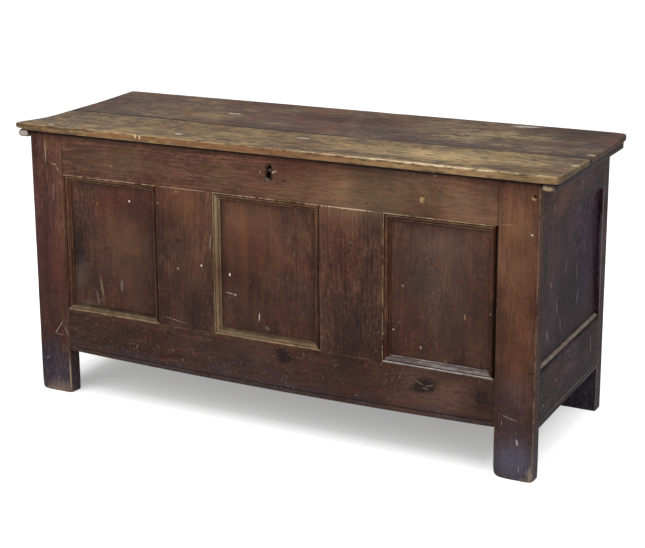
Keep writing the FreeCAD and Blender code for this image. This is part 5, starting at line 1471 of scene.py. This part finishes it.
class OAK_CHEST_OT_pegs(bpy.types.Operator):
    """Makes the riven pegs that hold the joints"""

    bl_idname = "oak_chest.pegs"
    bl_label = "Pegs"

    def execute(self, context):
        taper = context.scene.oak_chest_sizes.peg_taper
        sides = 12
        points, faces, grains, arris = [], [], [], []
        for seed, (low, high) in enumerate(separate_solids("pegs")):
            along = int(np.argmax(high - low))
            across = [axis for axis in range(3) if axis != along]
            centre = (low + high) / 2
            outward = 1.0 if centre[along] > 0 else -1.0
            head = high[along] if outward > 0 else low[along]
            tail = low[along] if outward > 0 else high[along]
            radius = (high[across[0]] - low[across[0]]) / 2
            slant = noise.noise(Vector((seed * 2.7, 1.3, 0.2)))
            # Rings from the tail to the head: where they are, and how much of the peg's radius they have.
            rings = [(tail, 1.0), (head - outward * 0.9 * MM, 1.0), (head - outward * 0.25 * MM, 0.93),
                     (head, 0.6)]
            faces += tube_faces(len(points), len(rings), sides)
            for position, share in rings:
                for number in range(sides):
                    turn = 2 * math.pi * (number + slant) / sides
                    stray = abs(noise.noise(Vector((math.cos(turn) * 1.3, math.sin(turn) * 1.3, seed * 3.1))))
                    reach = (radius - taper * min(1.0, 1.6 * stray)) * share
                    point = [0.0, 0.0, 0.0]
                    point[along] = position
                    point[across[0]] = centre[across[0]] + reach * math.cos(turn)
                    point[across[1]] = centre[across[1]] + reach * math.sin(turn)
                    if share < 1.0:
                        # The head was cut off at a slant.
                        dip = 0.3 * MM * (1 + slant * math.cos(turn))
                        point[along] -= outward * dip * (0.5 if share > 0.9 else 1.0)
                    points.append(point)
                    grains.append([position + seed, reach * math.cos(turn) + 4 * MM, reach * math.sin(turn)])
                    arris.append(0.8 if 0.9 < share < 1.0 else 0.0)
        mesh = new_mesh("pegs_oak", points, faces)
        face_outwards(mesh)
        set_layer(mesh, "grain", "FLOAT_VECTOR", grains)
        set_layer(mesh, "arris", "FLOAT", arris)
        set_layer(mesh, "grime_and_shade", "FLOAT", np.zeros(len(points)))
        link_piece("pegs_oak", mesh, oak("oak_pegs_riven"), "chest", ["pegs"])
        mesh.set_sharp_from_angle(angle=math.radians(40))
        return {"FINISHED"}


class OAK_CHEST_OT_ironwork(bpy.types.Operator):
    """Gives the hinges, the lock, the hasp and the nails their forged iron"""

    bl_idname = "oak_chest.ironwork"
    bl_label = "Ironwork"

    def execute(self, context):
        hinges = ["hinge_strap_left", "hinge_strap_right", "hinge_leaf_left", "hinge_leaf_right",
                  "hinge_pin_left", "hinge_pin_right"]
        lock = ["lock_case", "lock_bolt", "lid_hasp"]
        # For each finish: its nodes, how rusty it is, and its colour where that isn't the old oxide's.
        finishes = {
            # Out in the damp air behind the chest: brown rust over most of the oxide.
            "wrought_iron_hinges": (hinges, 0.8, None),
            # Kept dry: dark grey oxide with a few blooms of rust.
            "wrought_iron_lock": (lock, 0.3, None),
            # Rubbed bright by the key: a pale glint behind the keyhole.
            "wrought_iron_rubbed": (["lock_plate"], 0.0, linear("#d8d2c8")),
            # Driven into damp oak: heads that are half rust.
            "wrought_iron_nails": (["nails_chest", "nails_lid"], 0.6, None),
        }
        for name, (nodes, rusty, bare) in finishes.items():
            for node in nodes:
                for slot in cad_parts[node].material_slots:
                    slot.material = iron(name, rusty, bare)
        return {"FINISHED"}


class OAK_CHEST_OT_stage(bpy.types.Operator):
    """Makes the floor, the lights and the camera"""

    bl_idname = "oak_chest.stage"
    bl_label = "Stage"

    def execute(self, context):
        self.floor(context)
        self.lights(context)
        self.world(context)
        self.camera(context)
        context.scene.view_settings.view_transform = "Standard"
        return {"FINISHED"}

    @staticmethod
    def floor(context):
        """A wide sheet of paper under the chest."""
        half = 14.0
        edge = [(-half, -half, 0), (half, -half, 0), (half, half, 0), (-half, half, 0)]
        mesh = new_mesh("studio_floor", edge, [[0, 1, 2, 3]])
        mesh.materials.append(paper_floor("studio_paper_white"))
        floor = bpy.data.objects.new("studio_floor", mesh)
        context.scene.collection.objects.link(floor)

    @staticmethod
    def lights(context):
        """A large soft box over the left of the front, a weaker one over the top, and a low fill."""
        boxes = {"key_box": ((-1.3, -3.2, 2.9), 3.0, 115.0, (0.0, 0.0, 0.3)),
                 "top_box": ((0.0, -0.8, 3.2), 3.2, 66.0, (0.0, 0.0, 0.5)),
                 "fill_box": ((2.9, -2.2, 1.9), 2.6, 34.0, (0.0, 0.0, 0.3))}
        for name, (place, size, power, aim) in boxes.items():
            light = bpy.data.lights.new(name, "AREA")
            light.shape = "SQUARE"
            light.size = size
            light.energy = power
            lamp = bpy.data.objects.new(name, light)
            context.scene.collection.objects.link(lamp)
            lamp.location = place
            lamp.rotation_euler = (Vector(aim) - Vector(place)).to_track_quat("-Z", "Y").to_euler()

    @staticmethod
    def world(context):
        """Even pale light from all round, and plain white where the camera looks past the floor."""
        world = bpy.data.worlds.new("studio_world")
        context.scene.world = world
        world.use_nodes = True
        tree = world.node_tree
        tree.nodes.clear()
        strength = add(tree, "MapRange", {"Value": background_seen(tree), "To Min": 0.26, "To Max": 1.0})
        sky = add(tree, "Background", {"Color": (1, 1, 1, 1), "Strength": strength})
        add(tree, "OutputWorld", {"Surface": sky})

    @staticmethod
    def camera(context):
        """A long lens at standing height, to the right of the front."""
        data = bpy.data.cameras.new("chest_camera")
        data.lens = 82.6772
        data.shift_y = -0.12
        camera = bpy.data.objects.new("chest_camera", data)
        context.scene.collection.objects.link(camera)
        azimuth, tilt, roll = math.radians(27.08), math.radians(76.35), math.radians(-0.27)
        camera.matrix_world = (Matrix.Translation((1.594, -3.078, 1.355)) @ Matrix.Rotation(azimuth, 4, "Z")
                               @ Matrix.Rotation(tilt, 4, "X") @ Matrix.Rotation(roll, 4, "Z"))
        context.scene.camera = camera


class OAK_CHEST_PT_sidebar(bpy.types.Panel):
    """Lists the sizes and colours of the chest, and the steps that make it"""

    bl_label = "Oak Chest"
    bl_idname = "OAK_CHEST_PT_sidebar"
    bl_space_type = "VIEW_3D"
    bl_region_type = "UI"
    bl_category = "Oak Chest"

    def draw(self, context):
        layout = self.layout
        for group in (context.scene.oak_chest_sizes, context.scene.oak_chest_colours):
            column = layout.column(align=True)
            for name in group.bl_rna.properties.keys():
                if name not in ("rna_type", "name"):
                    column.prop(group, name)
        column = layout.column(align=True)
        for step in STEPS:
            column.operator(step.bl_idname)


STEPS = (
    OAK_CHEST_OT_stage,
    OAK_CHEST_OT_front_frame,
    OAK_CHEST_OT_front_panels,
    OAK_CHEST_OT_mouldings,
    OAK_CHEST_OT_end_walls,
    OAK_CHEST_OT_back_wall,
    OAK_CHEST_OT_floor_boards,
    OAK_CHEST_OT_lid,
    OAK_CHEST_OT_cleats,
    OAK_CHEST_OT_pegs,
    OAK_CHEST_OT_ironwork,
)
CLASSES = (OakChestSizes, OakChestColours, *STEPS, OAK_CHEST_PT_sidebar)


def register():
    """Adds the chest's sizes, colours, operators and panel to Blender."""
    for item in CLASSES:
        bpy.utils.register_class(item)
    bpy.types.Scene.oak_chest_sizes = PointerProperty(type=OakChestSizes)
    bpy.types.Scene.oak_chest_colours = PointerProperty(type=OakChestColours)


def unregister():
    """Takes them out again."""
    del bpy.types.Scene.oak_chest_sizes
    del bpy.types.Scene.oak_chest_colours
    for item in reversed(CLASSES):
        bpy.utils.unregister_class(item)


def main():
    """Makes every piece in order."""
    register()
    for step in STEPS:
        group, name = step.bl_idname.split(".")
        getattr(getattr(bpy.ops, group), name)()


if __name__ == "__main__":
    main()
